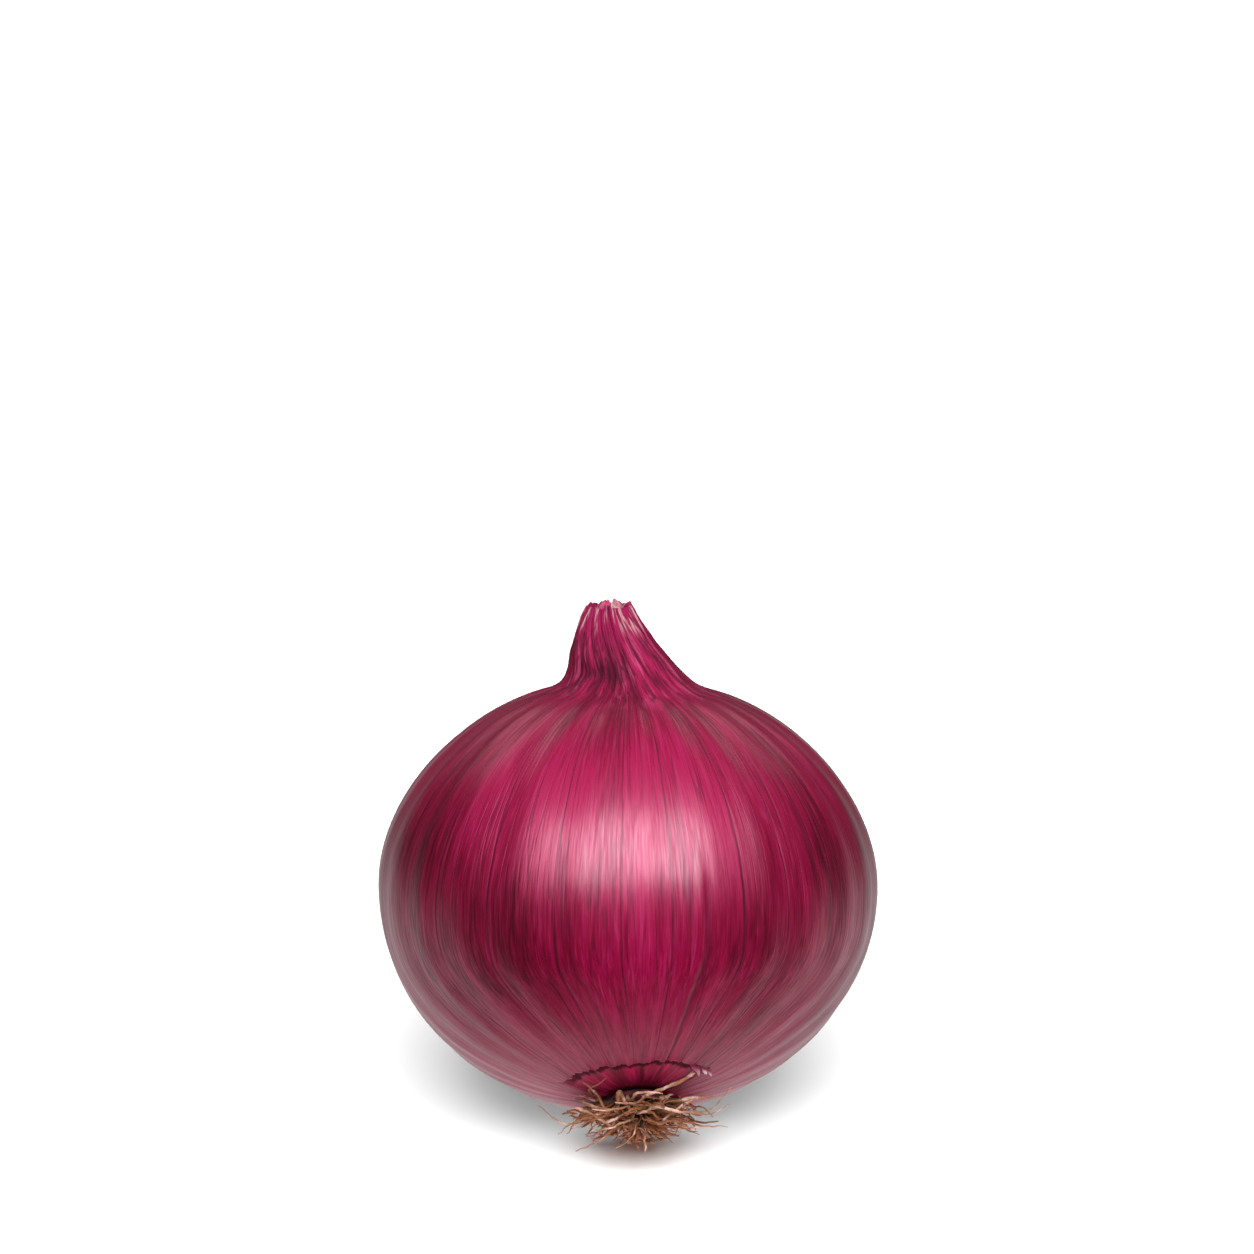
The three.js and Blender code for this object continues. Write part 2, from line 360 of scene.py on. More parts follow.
class FormTree(Graph):
    """A geometry node tree with named inputs for its sizes."""

    KINDS = {
        float: "NodeSocketFloat",
        int: "NodeSocketInt",
        bpy.types.Object: "NodeSocketObject",
        bpy.types.Material: "NodeSocketMaterial",
    }

    def __init__(self, name: str) -> None:
        """Starts an empty tree.

        Args:
            name: the tree's name.
        """
        super().__init__(bpy.data.node_groups.new(name, "GeometryNodeTree"))
        self.inputs = {}
        self.values = {}
        self.tree.interface.new_socket("Geometry", in_out="OUTPUT", socket_type="NodeSocketGeometry")

    def size(self, name: str, value: object) -> Field:
        """Adds a named input, or reads it again where the tree has it already.

        Args:
            name: the input's name.
            value: what the modifier gives it.

        Returns:
            The input as a field.
        """
        if name not in self.inputs:
            kind = next(label for base, label in self.KINDS.items() if isinstance(value, base))
            item = self.tree.interface.new_socket(name, in_out="INPUT", socket_type=kind)
            self.inputs[name] = item.identifier
            self.values[item.identifier] = value
        node = self.tree.nodes.new("NodeGroupInput")
        return Field(self, next(s for s in node.outputs if s.identifier == self.inputs[name]))

    def guide(self, name: str, curve: bpy.types.Object) -> Field:
        """Reads a guide curve through a named input."""
        sockets = {"Object": self.size(name, curve)}
        return self.read("GeometryNodeObjectInfo", {"transform_space": "ORIGINAL"}, sockets, "Geometry")

    def draw(self, index: Field, seed: Value) -> Field:
        """Draws one random value from 0 to 1 for each copy."""
        sockets = {"Vector": self.vector(index, seed, 0.0)}
        return self.read("ShaderNodeTexWhiteNoise", {"noise_dimensions": "3D"}, sockets, "Value")

    def store(self, geometry: Field, name: str, kind: str, value: Value) -> Field:
        """Keeps a field on the points of a geometry.

        Args:
            geometry: what the points belong to.
            name: the attribute's name.
            kind: its data type.
            value: the field or number.

        Returns:
            The geometry with the attribute.
        """
        settings = {"data_type": kind, "domain": "POINT"}
        sockets = {"Geometry": geometry, "Name": name, "Value": value}
        return self.read("GeometryNodeStoreNamedAttribute", settings, sockets, "Geometry")

    def moved(self, geometry: Field, position: Field) -> Field:
        """Puts every point of a geometry at a position."""
        sockets = {"Geometry": geometry, "Position": position}
        return self.read("GeometryNodeSetPosition", None, sockets, "Geometry")

    def joined(self, *parts: Field) -> Field:
        """Puts geometries together."""
        return self.read("GeometryNodeJoinGeometry", None, {"Geometry": list(parts)}, "Geometry")

    def welded(self, geometry: Field) -> Field:
        """Merges the points that share a place."""
        sockets = {"Geometry": geometry, "Distance": WELD_GAP}
        return self.read("GeometryNodeMergeByDistance", None, sockets, "Geometry")

    def grid(self, columns: Value, rows: Value) -> Tuple[Field, Field, Field]:
        """Adds a flat unit grid.

        Args:
            columns: number of points along its first side.
            rows: number of points along its second side.

        Returns:
            The grid, and its two coordinates from 0 to 1.
        """
        sockets = {"Size X": 1.0, "Size Y": 1.0, "Vertices X": columns, "Vertices Y": rows}
        mesh = self.read("GeometryNodeMeshGrid", None, sockets, "Mesh")
        x, y, _ = self.split(self.read("GeometryNodeInputPosition", None, None, "Position"))
        return mesh, x + 0.5, y + 0.5

    def copies(self, geometry: Field, count: Field) -> Tuple[Field, Field]:
        """Puts copies of a geometry on one spot, for a rule to lay out.

        Args:
            geometry: what is copied.
            count: number of copies.

        Returns:
            The copies, and the number of the copy that each point belongs to.
        """
        points = self.read("GeometryNodePoints", None, {"Count": count}, "Points")
        index = self.read("GeometryNodeInputIndex", None, None, "Index")
        capture = self.tree.nodes.new("GeometryNodeCaptureAttribute")
        capture.capture_items.new("FLOAT", "copy")
        self.tree.links.new(points.socket, capture.inputs[0])
        self.tree.links.new(index.socket, capture.inputs[1])
        sockets = {"Points": Field(self, capture.outputs[0]), "Instance": geometry}
        instances = self.read("GeometryNodeInstanceOnPoints", None, sockets, "Instances")
        whole = self.read("GeometryNodeRealizeInstances", None, {"Geometry": instances}, "Geometry")
        return whole, Field(self, capture.outputs[1])

    def make(self, geometry: Field, name: str, material: bpy.types.Material) -> bpy.types.Object:
        """Closes the tree and turns its result into a plain mesh.

        Args:
            geometry: the tree's result.
            name: name of the new piece.
            material: finish of the new piece.

        Returns:
            The piece, with no modifier left on it.
        """
        whole = self.read("GeometryNodeRealizeInstances", None, {"Geometry": geometry}, "Geometry")
        smooth = self.read("GeometryNodeSetShadeSmooth", None, {"Geometry": whole}, "Geometry")
        sockets = {"Geometry": smooth, "Material": self.size("Finish", material)}
        dressed = self.read("GeometryNodeSetMaterial", None, sockets, "Geometry")
        self.node("NodeGroupOutput", None, {"Geometry": dressed})
        maker = put(f"{name}_maker", bpy.data.meshes.new(f"{name}_maker"))
        modifier = maker.modifiers.new("form", "NODES")
        modifier.node_group = self.tree
        for identifier, value in self.values.items():
            modifier[identifier] = value
        depsgraph = bpy.context.evaluated_depsgraph_get()
        mesh = bpy.data.meshes.new_from_object(
            maker.evaluated_get(depsgraph), preserve_all_data_layers=True, depsgraph=depsgraph
        )
        bpy.data.objects.remove(maker)
        mesh.name = name
        return put(name, mesh)


class SurfaceTree(Graph):
    """The node tree of one material, ending in one principled surface."""

    def __init__(self, name: str) -> None:
        """Starts an empty material.

        Args:
            name: the material's name.
        """
        self.material = bpy.data.materials.new(name)
        self.material.use_nodes = True
        super().__init__(self.material.node_tree)
        self.tree.nodes.clear()

    def attribute(self, name: str, output: str) -> Field:
        """Reads a named attribute of the mesh."""
        return self.read("ShaderNodeAttribute", {"attribute_name": name}, None, output)

    def speckle(self, across: float, upright: float, detail: float, roughness: float = 0.5) -> Field:
        """Noise on the place on the piece.

        Args:
            across: bumps to the metre, level.
            upright: bumps to the metre, up and down.
            detail: number of finer layers.
            roughness: share of the finer layers.

        Returns:
            The noise from 0 to 1.
        """
        x, y, z = self.split(self.read("ShaderNodeTexCoord", None, None, "Object"))
        return self.noise(self.vector(x * across, y * across, z * upright), detail, roughness)

    def relief(self, height: Field, strength: float, depth: float) -> Field:
        """Turns a height into a bumped normal.

        Args:
            height: height from 0 to 1.
            strength: share of the bump.
            depth: height of the bump in metres.

        Returns:
            The normal.
        """
        sockets = {"Height": height, "Strength": strength, "Distance": depth}
        return self.read("ShaderNodeBump", None, sockets, "Normal")

    def finish(self, sockets: Mapping[str, object]) -> bpy.types.Material:
        """Closes the tree with its surface.

        Args:
            sockets: values and fields of the principled surface.

        Returns:
            The material.
        """
        surface = self.read("ShaderNodeBsdfPrincipled", None, sockets, "BSDF")
        self.node("ShaderNodeOutputMaterial", None, {"Surface": surface})
        return self.material


@dataclass(frozen=True)
class OnionShape:
    """Half outline and posture of the onion, in millimetres and degrees, as the solids have them.

    The outline runs on a little past the rim, so that torn leaf ends can follow it.
    """

    equator_radius: float = 39.0
    base_depth: float = 35.3
    base_fullness: float = 0.56
    equator_handle: float = 13.4
    shoulder_radius: float = 12.6
    shoulder_height: float = 30.7
    shoulder_rise: float = 14.8
    shoulder_handle_out: float = 14.8
    shoulder_handle_in: float = 4.6
    neck_handle: Tuple[float, float] = (7.2, 36.3)
    rim_radius: float = 3.0
    rim_height: float = 43.8
    spare: float = 4.0
    neck_lean: float = -3.2
    root_bend: float = 26.0
    root_bearing: float = 6.0
    lean_back: float = 17.0
    centre: Tuple[float, float, float] = (0.0, -2.73, 36.07)

    def knots(self) -> Sequence[Tuple[Vector, Vector, Vector]]:
        """Works out the knots of the outline, from the root pole to past the rim.

        Returns:
            Each knot's handle before it, its point and its handle after it.
        """
        rise = math.radians(self.shoulder_rise)
        run = Vector((-math.cos(rise), 0, math.sin(rise)))
        pole = Vector((0, 0, -self.base_depth))
        equator = Vector((self.equator_radius, 0, 0))
        shoulder = Vector((self.shoulder_radius, 0, self.shoulder_height))
        rim = Vector((self.rim_radius, 0, self.rim_height))
        waist = Vector((self.neck_handle[0], 0, self.neck_handle[1]))
        beyond = rim + (rim - waist).normalized() * self.spare
        base_out = Vector((self.base_fullness * self.equator_radius, 0, -self.base_depth))
        base_up = Vector((self.equator_radius, 0, -self.base_fullness * self.base_depth))
        up = Vector((self.equator_radius, 0, self.equator_handle))
        return [
            (pole, pole, base_out),
            (base_up, equator, up),
            (shoulder - run * self.shoulder_handle_out, shoulder, shoulder + run * self.shoulder_handle_in),
            (waist, rim, rim.lerp(beyond, 0.4)),
            (rim.lerp(beyond, 0.6), beyond, beyond),
        ]

    def distances(self) -> Sequence[float]:
        """Measures the outline.

        Returns:
            Distances from the root pole to the equator, the shoulder, the rim and the end.
        """
        knots = self.knots()
        total = 0.0
        found = []
        for (_, start, after), (before, end, _) in zip(knots, knots[1:]):
            line = interpolate_bezier(start, after, before, end, 256)
            total += sum((b - a).length for a, b in zip(line, line[1:]))
            found.append(total)
        return found

    @property
    def rim_distance(self) -> float:
        """Distance along the outline from the root pole to the rim of the neck."""
        return self.distances()[2]

    def outline(self) -> bpy.types.Object:
        """Makes the half outline, for the node trees to follow.

        Returns:
            The outline as a curve, in millimetres.
        """
        curve = bpy.data.curves.new("half_outline", "CURVE")
        curve.dimensions = "3D"
        curve.resolution_u = 64
        spline = curve.splines.new("BEZIER")
        knots = self.knots()
        spline.bezier_points.add(len(knots) - 1)
        for point, (before, middle, after) in zip(spline.bezier_points, knots):
            point.handle_left_type = "FREE"
            point.handle_right_type = "FREE"
            point.co = middle
            point.handle_left = before
            point.handle_right = after
        return put("half_outline", curve)

    def place(self, form: Graph, x: Value, y: Value, z: Field) -> Tuple[Field, Field, Field]:
        """Bends the root end forward, moves the neck aside and leans the onion back.

        Args:
            form: tree that the nodes go into.
            x: millimetres to the right in the upright frame.
            y: millimetres to the back.
            z: millimetres above the widest ring.

        Returns:
            The three coordinates in the frame of the solids, in millimetres.
        """
        bearing = math.radians(self.root_bearing)
        aside = x + self.neck_lean * z.ease(self.shoulder_height, self.rim_height)
        bend = z.ease(0.0, -self.base_depth) * -math.radians(self.root_bend)
        axis = (math.cos(bearing), math.sin(bearing), 0.0)
        upright = {"Vector": form.vector(aside, y, z), "Axis": axis, "Angle": bend}
        bent = form.read("ShaderNodeVectorRotate", {"rotation_type": "AXIS_ANGLE"}, upright, "Vector")
        sockets = {"Vector": bent, "Angle": -math.radians(self.lean_back)}
        leant = form.read("ShaderNodeVectorRotate", {"rotation_type": "X_AXIS"}, sockets, "Vector")
        right, back, up = form.split(leant)
        return right + self.centre[0], back + self.centre[1], up + self.centre[2]

    def surface(self, form: FormTree, guide: Field, distance: Field, turn: Field, lift: Value) -> Field:
        """Puts points on the onion's surface.

        Args:
            form: tree that the nodes go into.
            guide: geometry of the half outline.
            distance: millimetres along the outline from the root pole.
            turn: angle round the axis.
            lift: millimetres off the outline.

        Returns:
            The position in the frame of the solids, in metres, no lower than the floor.
        """
        sockets = {"Curves": guide, "Length": distance}
        sample = form.node("GeometryNodeSampleCurve", {"mode": "LENGTH"}, sockets)
        radius, _, height = form.split(Field(form, sample.outputs["Position"]))
        run_out, _, run_up = form.split(Field(form, sample.outputs["Tangent"]))
        reach = (radius + run_up * lift).at_least(0.0)
        x, y, z = self.place(form, reach * turn.cos(), reach * turn.sin(), height - run_out * lift)
        return form.vector(x * MM, y * MM, z.at_least(0.0) * MM)


@dataclass(frozen=True)
class Fold:
    """A lengthwise fold where one skin laps over the next.

    It lies at a turn in degrees, from a start to an end in millimetres along the outline.
    """

    turn: float
    start: float
    end: float
    depth: float


@dataclass(frozen=True)
class PaintedLightBand:
    """A broad lengthwise band of painted shade (a negative amount) or painted highlight (a positive amount)
    on the skin.

    It lies at a turn in degrees, with a spread to each side, from a start to an end as shares of the outline.
    """

    turn: float
    spread: float
    start: float
    end: float
    amount: float


@dataclass(frozen=True)
class SkinFinish:
    """Glossy dry skin: lengthwise streaks and veins, pleated and paler at the neck, duller at the tear;
    grooves, creases and the seat round the stem plate carry painted shade, and broad bands carry painted
    shade and painted highlight.
    """

    name: str = "dry_onion_skin"
    deep: Colour = tone("38000c")
    body: Colour = tone("620022")
    bright: Colour = tone("7c0634")
    pale: Colour = tone("8c2a50")
    # Dark of the veins, threads and leaf seams, and also of the painted shade in grooves
    vein_and_shade: Colour = tone("240309")
    dusty: Colour = tone("722236")
    scale: Colour = tone("a01244")
    plate_seat_shade: Colour = tone("760c2a")
    tip: Colour = tone("8c0c44")
    papery: Colour = tone("a03c60")
    straw: Colour = tone("a08886")
    sheen: Colour = (1.0, 0.2, 0.45, 1.0)
    veins: int = 26
    band_fade: float = 0.06
    # Painted shade and painted highlight, as broad bands at fixed turns
    bands: Sequence[PaintedLightBand] = (
        PaintedLightBand(turn=-147.0, spread=14.0, start=0.52, end=0.75, amount=-0.22),
        PaintedLightBand(turn=-39.0, spread=13.0, start=0.52, end=0.75, amount=-0.25),
        PaintedLightBand(turn=-121.0, spread=20.0, start=0.3, end=0.55, amount=-0.25),
        PaintedLightBand(turn=-62.0, spread=16.0, start=0.38, end=0.52, amount=-0.08),
        PaintedLightBand(turn=-107.0, spread=13.0, start=0.54, end=0.72, amount=0.3),
        PaintedLightBand(turn=-66.0, spread=9.0, start=0.53, end=0.7, amount=0.2),
        PaintedLightBand(turn=-50.0, spread=35.0, start=0.85, end=0.97, amount=0.35),
        PaintedLightBand(turn=-88.0, spread=12.0, start=0.2, end=0.75, amount=0.25),
        PaintedLightBand(turn=70.0, spread=25.0, start=0.2, end=0.75, amount=-0.25),
    )

    def material(self) -> bpy.types.Material:
        """Builds the material from the grain, layer and groove kept on the mesh; the groove carries painted
        shade.

        Returns:
            The material.
        """
        tree = SurfaceTree(self.name)
        around_x, around_y, along = tree.split(tree.attribute("grain", "Vector"))
        layer = tree.attribute("layer", "Fac")
        groove = tree.attribute("groove", "Fac")
        grain = Grain(tree, around_x, around_y, tree.maths("ARCTAN2", around_y, around_x), along)
        low = along.ease(0.3, 0.12)
        neck = along.ease(0.8, 0.89)
        broad = grain.noise(6.0, 1.6, detail=2.0)
        bands = grain.noise(22.0, 5.0, detail=3.0, roughness=0.6)
        fine = grain.noise(62.0, 13.0, offset=7.0, detail=3.0, roughness=0.6)
        hair = grain.noise(150.0, 22.0, offset=3.0, detail=2.0)
        ends = grain.noise(8.0, 9.0, offset=5.0, detail=3.0, roughness=0.6)
        mottle = grain.noise(26.0, 70.0, detail=3.0, roughness=0.6)

        wobble = (grain.noise(6.0, 14.0) - 0.5) * 0.05
        nearest = tree.maths("PINGPONG", grain.vein_phase(self.veins) + wobble, 0.5)
        patchy = grain.noise(5.0, 7.0, offset=11.0)
        strength = patchy.ease(0.25, 0.55)
        line = nearest.ease(0.03, 0.006) * strength
        beside = nearest.bump(0.05, 0.025) * strength
        thread = abs(grain.noise(17.0, 2.5, offset=1.0) - 0.5).ease(0.028, 0.006) * patchy.ease(0.65, 0.45)
        fibre = abs(grain.noise(36.0, 4.0, offset=4.0) - 0.5).ease(0.04, 0.01) * bands.ease(0.4, 0.6)
        seam = abs(grain.noise(9.0, 12.0, offset=6.0, detail=2.0) - 0.5).ease(0.045, 0.012) * neck

        depth = broad + (bands - 0.5) * 0.6 + (fine - 0.5) * 0.7 + (hair - 0.5) * 0.6 + (mottle - 0.5) * 0.12
        depth = depth + (ends - 0.5) * (low + neck) * 1.2 + along.bump(0.69, 0.1) * 0.3
        # Painted shade and painted highlight from the bands
        depth = self._painted_light_bands(grain, depth)
        lit = depth.ease(0.3, 0.8)
        colour = tree.tint(depth.ease(0.1, 0.6), self.deep, self.body)
        colour = tree.tint(depth.ease(0.5, 1.0), colour, self.bright)
        colour = tree.tint((hair * 0.5 + fine * 0.5).ease(0.56, 0.76) * lit * 0.35, colour, self.pale)
        colour = tree.tint(low * (mottle.ease(0.3, 0.7) * 0.4 + 0.3), colour, self.dusty)
        colour = tree.tint(fibre * lit * 0.3, colour, self.pale)
        colour = tree.tint(beside * 0.35, colour, self.bright)
        colour = tree.tint((line * 0.65).at_least(thread * 0.4), colour, self.vein_and_shade)
        colour = self._necked(grain, colour, neck, seam)

        lower = tree.tint((ends * 0.6 + fine * 0.4).ease(0.35, 0.65), self.deep, self.scale)
        lower = tree.tint(hair.ease(0.55, 0.75) * 0.3, lower, self.bright)
        colour = tree.tint(layer.ease(0.25, 0.75), lower, colour)
        # Painted shade: the scale darkens as it curves into the seat round the stem plate
        colour = tree.tint(along.ease(0.07, 0.042), colour, self.plate_seat_shade)
        # Painted shade in pleat valleys, fold creases, the pinch, the mouth of the neck and under the torn
        # skin's lip
        colour = tree.tint(groove * 0.9, colour, self.vein_and_shade)

        height = bands * 0.4 + fine * 0.5 + hair * 0.4 + mottle * 0.14 + beside * 0.15
        height = height - (line + thread + seam * 2.0) * 0.4
        glaze = hair.ease(0.3, 0.7) * 0.5 + fine.ease(0.3, 0.7) * 0.35 + 0.2
        return tree.finish({
            "Base Color": colour,
            "Roughness": 0.46 + (fine - 0.5) * 0.16 + neck * 0.25 + groove * 0.25,
            "Specular IOR Level": 0.8,
            "Specular Tint": self.sheen,
            "Coat Weight": glaze * (1.0 - neck) * (1.0 - groove) * along.ease(0.04, 0.14),
            "Coat Roughness": 0.3,
            "Normal": tree.relief(height, 0.55, 0.0002),
        })

    def _painted_light_bands(self, grain: Grain, depth: Field) -> Field:
        """Adds the broad bands of painted shade and painted highlight to the skin's depth of colour.

        Args:
            grain: where the point lies.
            depth: depth of colour without the bands.

        Returns:
            The depth of colour, low in dark skin and high in bright skin.
        """
        for band in self.bands:
            facing = grain.facing(band.turn).ease(math.cos(math.radians(band.spread)), 1.0)
            begun = grain.along.ease(band.start - self.band_fade, band.start + self.band_fade)
            over = grain.along.ease(band.end - self.band_fade, band.end + self.band_fade)
            depth = depth + facing * (begun - over) * band.amount
        return depth

    def _necked(self, grain: Grain, colour: Field, neck: Field, seam: Field) -> Field:
        """Lays the papery strips, dark slits and torn tips of the neck over a colour.

        Args:
            grain: where the point lies.
            colour: colour of the skin.
            neck: 1 on the neck, 0 on the bulb.
            seam: thin dark lines between the leaves.

        Returns:
            The colour with the neck on it.
        """
        tree = grain.graph
        strip = grain.noise(7.0, 14.0, offset=2.0, detail=4.0, roughness=0.65)
        slit = grain.noise(6.0, 40.0, offset=9.0, detail=2.0)
        colour = tree.tint(neck * strip.ease(0.48, 0.68) * 0.6, colour, self.papery)
        colour = tree.tint((neck * slit.ease(0.6, 0.7)).at_least(seam) * 0.75, colour, self.vein_and_shade)
        colour = tree.tint(grain.along.ease(0.94, 0.985) * 0.5, colour, self.tip)
        torn = grain.along.ease(0.955, 0.98) * strip.ease(0.53, 0.62)
        return tree.tint(torn * 0.85, colour, self.straw)


@dataclass(frozen=True)
class RootFinish:
    """Dry straw-brown root: paler tan patches, pinkish-white patches of painted highlight, dark flecks,
    painted shade that darkens it towards the plate, and a pinkish end.
    """

    name: str = "dry_root"
    dark: Colour = tone("2a060c")
    body: Colour = tone("744220")
    pale: Colour = tone("b88c6c")
    blush: Colour = tone("9c6460")
    # Pinkish-white of the painted highlights
    light: Colour = tone("d8b4b0")

    def material(self) -> bpy.types.Material:
        """Builds the material from the reach and the tint kept on each root.

        Returns:
            The material.
        """
        tree = SurfaceTree(self.name)
        reach = tree.attribute("reach", "Fac")
        tint = tree.attribute("tint", "Fac")
        grain = tree.speckle(2600.0, 2600.0, 3.0, 0.6)
        patch = tree.speckle(420.0, 420.0, 2.0)
        # Painted shade: the root darkens towards the plate, deep in the tuft
        colour = tree.tint(reach.ease(0.2, 0.7), self.dark, self.body)
        # The paler patches stay off the inner part, which is in painted shade
        outer = reach.ease(0.15, 0.55) * 0.7
        colour = tree.tint((patch * 0.6 + tint * 0.5).ease(0.5, 0.9) * outer, colour, self.pale)
        # Pinkish-white patches of painted highlight
        colour = tree.tint((patch + tint * 0.3).ease(0.72, 0.92) * outer, colour, self.light)
        colour = tree.tint(grain.ease(0.5, 0.3) * 0.5, colour, self.dark)
        colour = tree.tint(reach.ease(0.7, 1.0) * tint * 0.6, colour, self.blush)
        return tree.finish({
            "Base Color": colour,
            "Roughness": 0.78 - grain * 0.12,
            "Normal": tree.relief(grain, 0.5, 0.00025),
        })


@dataclass(frozen=True)
class BladeFinish:
    """Papery scrap: one colour where it starts, another at its torn end."""

    name: str
    foot: Colour
    end: Colour
    pale: Colour

    def material(self) -> bpy.types.Material:
        """Builds the material from the reach and the tint kept on each blade.

        Returns:
            The material.
        """
        tree = SurfaceTree(self.name)
        reach = tree.attribute("reach", "Fac")
        tint = tree.attribute("tint", "Fac")
        grain = tree.speckle(1500.0, 700.0, 3.0, 0.6)
        colour = tree.tint((reach + (grain - 0.5) * 0.6).ease(0.2, 0.9), self.foot, self.end)
        faded = (tint * 0.7 + grain * 0.6).ease(0.5, 0.85) * reach.ease(0.3, 0.8)
        colour = tree.tint(faded, colour, self.pale)
        return tree.finish({
            "Base Color": colour,
            "Roughness": 0.6 - grain * 0.15,
            "Normal": tree.relief(grain, 0.4, 0.0002),
        })


@dataclass(frozen=True)
class PlateFinish:
    """Dark corky stem plate."""

    name: str = "stem_plate"
    dark: Colour = tone("38080f")
    light: Colour = tone("641820")

    def material(self) -> bpy.types.Material:
        """Builds the material.

        Returns:
            The material.
        """
        tree = SurfaceTree(self.name)
        grain = tree.speckle(900.0, 900.0, 4.0, 0.6)
        return tree.finish({
            "Base Color": tree.tint(grain.ease(0.35, 0.7), self.dark, self.light),
            "Roughness": 0.88 - grain * 0.1,
            "Normal": tree.relief(grain, 0.6, 0.0005),
        })


@dataclass(frozen=True)
class FloorFinish:
    """Plain pale floor."""

    name: str = "pale_floor"
    colour: Colour = (0.85, 0.85, 0.85, 1.0)

    def material(self) -> bpy.types.Material:
        """Builds the material."""
        return SurfaceTree(self.name).finish({"Base Color": self.colour, "Roughness": 0.9})


@dataclass
class Bulb:
    """The bulb with its dry skin, its torn lower edge over the next scale, and its pleated neck."""

    shape: OnionShape
    finish: SkinFinish = field(default_factory=SkinFinish)
    turns: int = 480
    skin_rings: int = 150
    base_rings: int = 40
    mouth_rings: int = 8
    seat_radius: float = 4.8
    seat_depth: float = 0.7
    skin_step: float = 0.45
    shadow_width: float = 2.1
    skin_thickness: float = 0.16
    lip_overhang: float = 0.8
    tear_distance: float = 14.2
    tear_bearing: float = -97.0
    tear_margin: float = 1.8
    tear_ragged: float = 1.1
    tear_slant: float = 0.7
    tear_curl: float = 0.45
    wrinkle_depth: float = 0.35
    rib_height: float = 0.1
    streak_height: float = 0.05
    dent_depth: float = 0.28
    pleats: int = 15
    creases: int = 47
    pleat_lean: float = 1.5
    pleat_depth: float = 0.62
    crinkle_depth: float = 0.9
    rim_rise: float = 0.6
    rim_ragged: float = 0.8
    mouth_wall: float = 0.8
    mouth_depth: float = 3.0
    neck_swell: float = 0.7
    pinch_turn: float = 243.0
    pinch_depth: float = 0.7
    folds: Sequence[Fold] = (
        Fold(turn=-72.5, start=15.0, end=58.0, depth=0.5),
        Fold(turn=61.0, start=15.0, end=52.0, depth=0.35),
        Fold(turn=168.0, start=40.0, end=95.0, depth=0.3),
    )

    def build(self, guide: bpy.types.Object) -> bpy.types.Object:
        """Makes the bulb from three sheets that meet at the tear and at the rim.

        Args:
            guide: the half outline.

        Returns:
            The finished piece.
        """
        form = FormTree("bulb_form")
        outline = form.guide("Half outline", guide)
        turns = form.size("Turns", self.turns) + 1.0
        skin, u, v = form.grid(turns, form.size("Skin rings", self.skin_rings) + 1.0)
        base, _, _ = form.grid(turns, form.size("Base rings", self.base_rings) + 1.0)
        mouth, _, _ = form.grid(turns, form.size("Mouth rings", self.mouth_rings) + 1.0)
        turn = u * TAU
        around = Grain(form, turn.cos(), turn.sin(), turn)
        tear, opened = self._tear(form, around)
        rim = self._rim(form, around)

        # The dry skin, from the tear to the rim, with rings closer together at both ends
        even = v - (v * TAU).sin() * (0.6 / TAU)
        distance = tear + (rim - tear) * even
        lift, groove = self._relief(form, around, distance, tear)
        curl = around.noise(3.0, 0.0, offset=9.0) * opened * form.size("Tear curl", self.tear_curl)
        lift = lift + ((tear - distance) / 1.2).exp() * curl
        parts = [self._sheet(form, outline, skin, turn, distance, lift, groove, 1.0)]

        # The scale under the tear, from the root pole out under the skin and back to its edge
        open_part = (v / 0.7).at_most(1.0)
        under = v.ease(0.66, 0.84) * v.ease(1.0, 0.82) * opened
        inner = (open_part * (2.0 - open_part)) * tear + under * form.size("Lip overhang", self.lip_overhang)
        ground, crease = self._relief(form, around, inner, tear)
        rise = v.ease(0.82, 0.9)
        edge = rise * v.ease(1.0, 0.92) * form.size("Skin thickness", self.skin_thickness)
        drop = (1.0 - rise) * form.size("Skin step", self.skin_step) + edge
        seat = inner.ease(self.seat_radius + 0.9, self.seat_radius - 0.3) * self.seat_depth
        stepped = opened.at_least(inner.ease(4.0, 1.0))
        low = ground * inner.ease(1.0, 5.0) + curl * rise - drop * stepped - seat
        width = form.size("Shadow width", self.shadow_width)
        # Painted shadow: a dark strip on the scale just under the torn skin's lip; where the tear closes, the
        # fold creases' painted shade instead
        shade = (tear - inner).ease(width, width - 0.6) * v.ease(0.99, 0.93)
        dark = shade * opened + crease * (1.0 - opened)
        layer = v.ease(0.84, 0.95).at_least(1.0 - opened)
        parts.append(self._sheet(form, outline, base, turn, inner, low, dark, layer))

        # The mouth of the neck, from the rim down to one point on the axis
        top_lift, top_groove = self._relief(form, around, rim, tear)
        floor = self.shape.rim_distance - form.size("Mouth depth", self.mouth_depth)
        sunk = rim + (floor - rim) * v.ease(0.15, 0.8)
        wall = v.at_most(0.25) * (self.mouth_wall / 0.25) + v ** 10.0 * 9.0
        inside = top_lift * (1.0 - v) - wall
        # The mouth darkens inward with painted shade
        parts.append(self._sheet(form, outline, mouth, turn, sunk, inside, top_groove + v * 0.8, 1.0))

        return form.make(form.welded(form.joined(*parts)), "onion_bulb", self.finish.material())

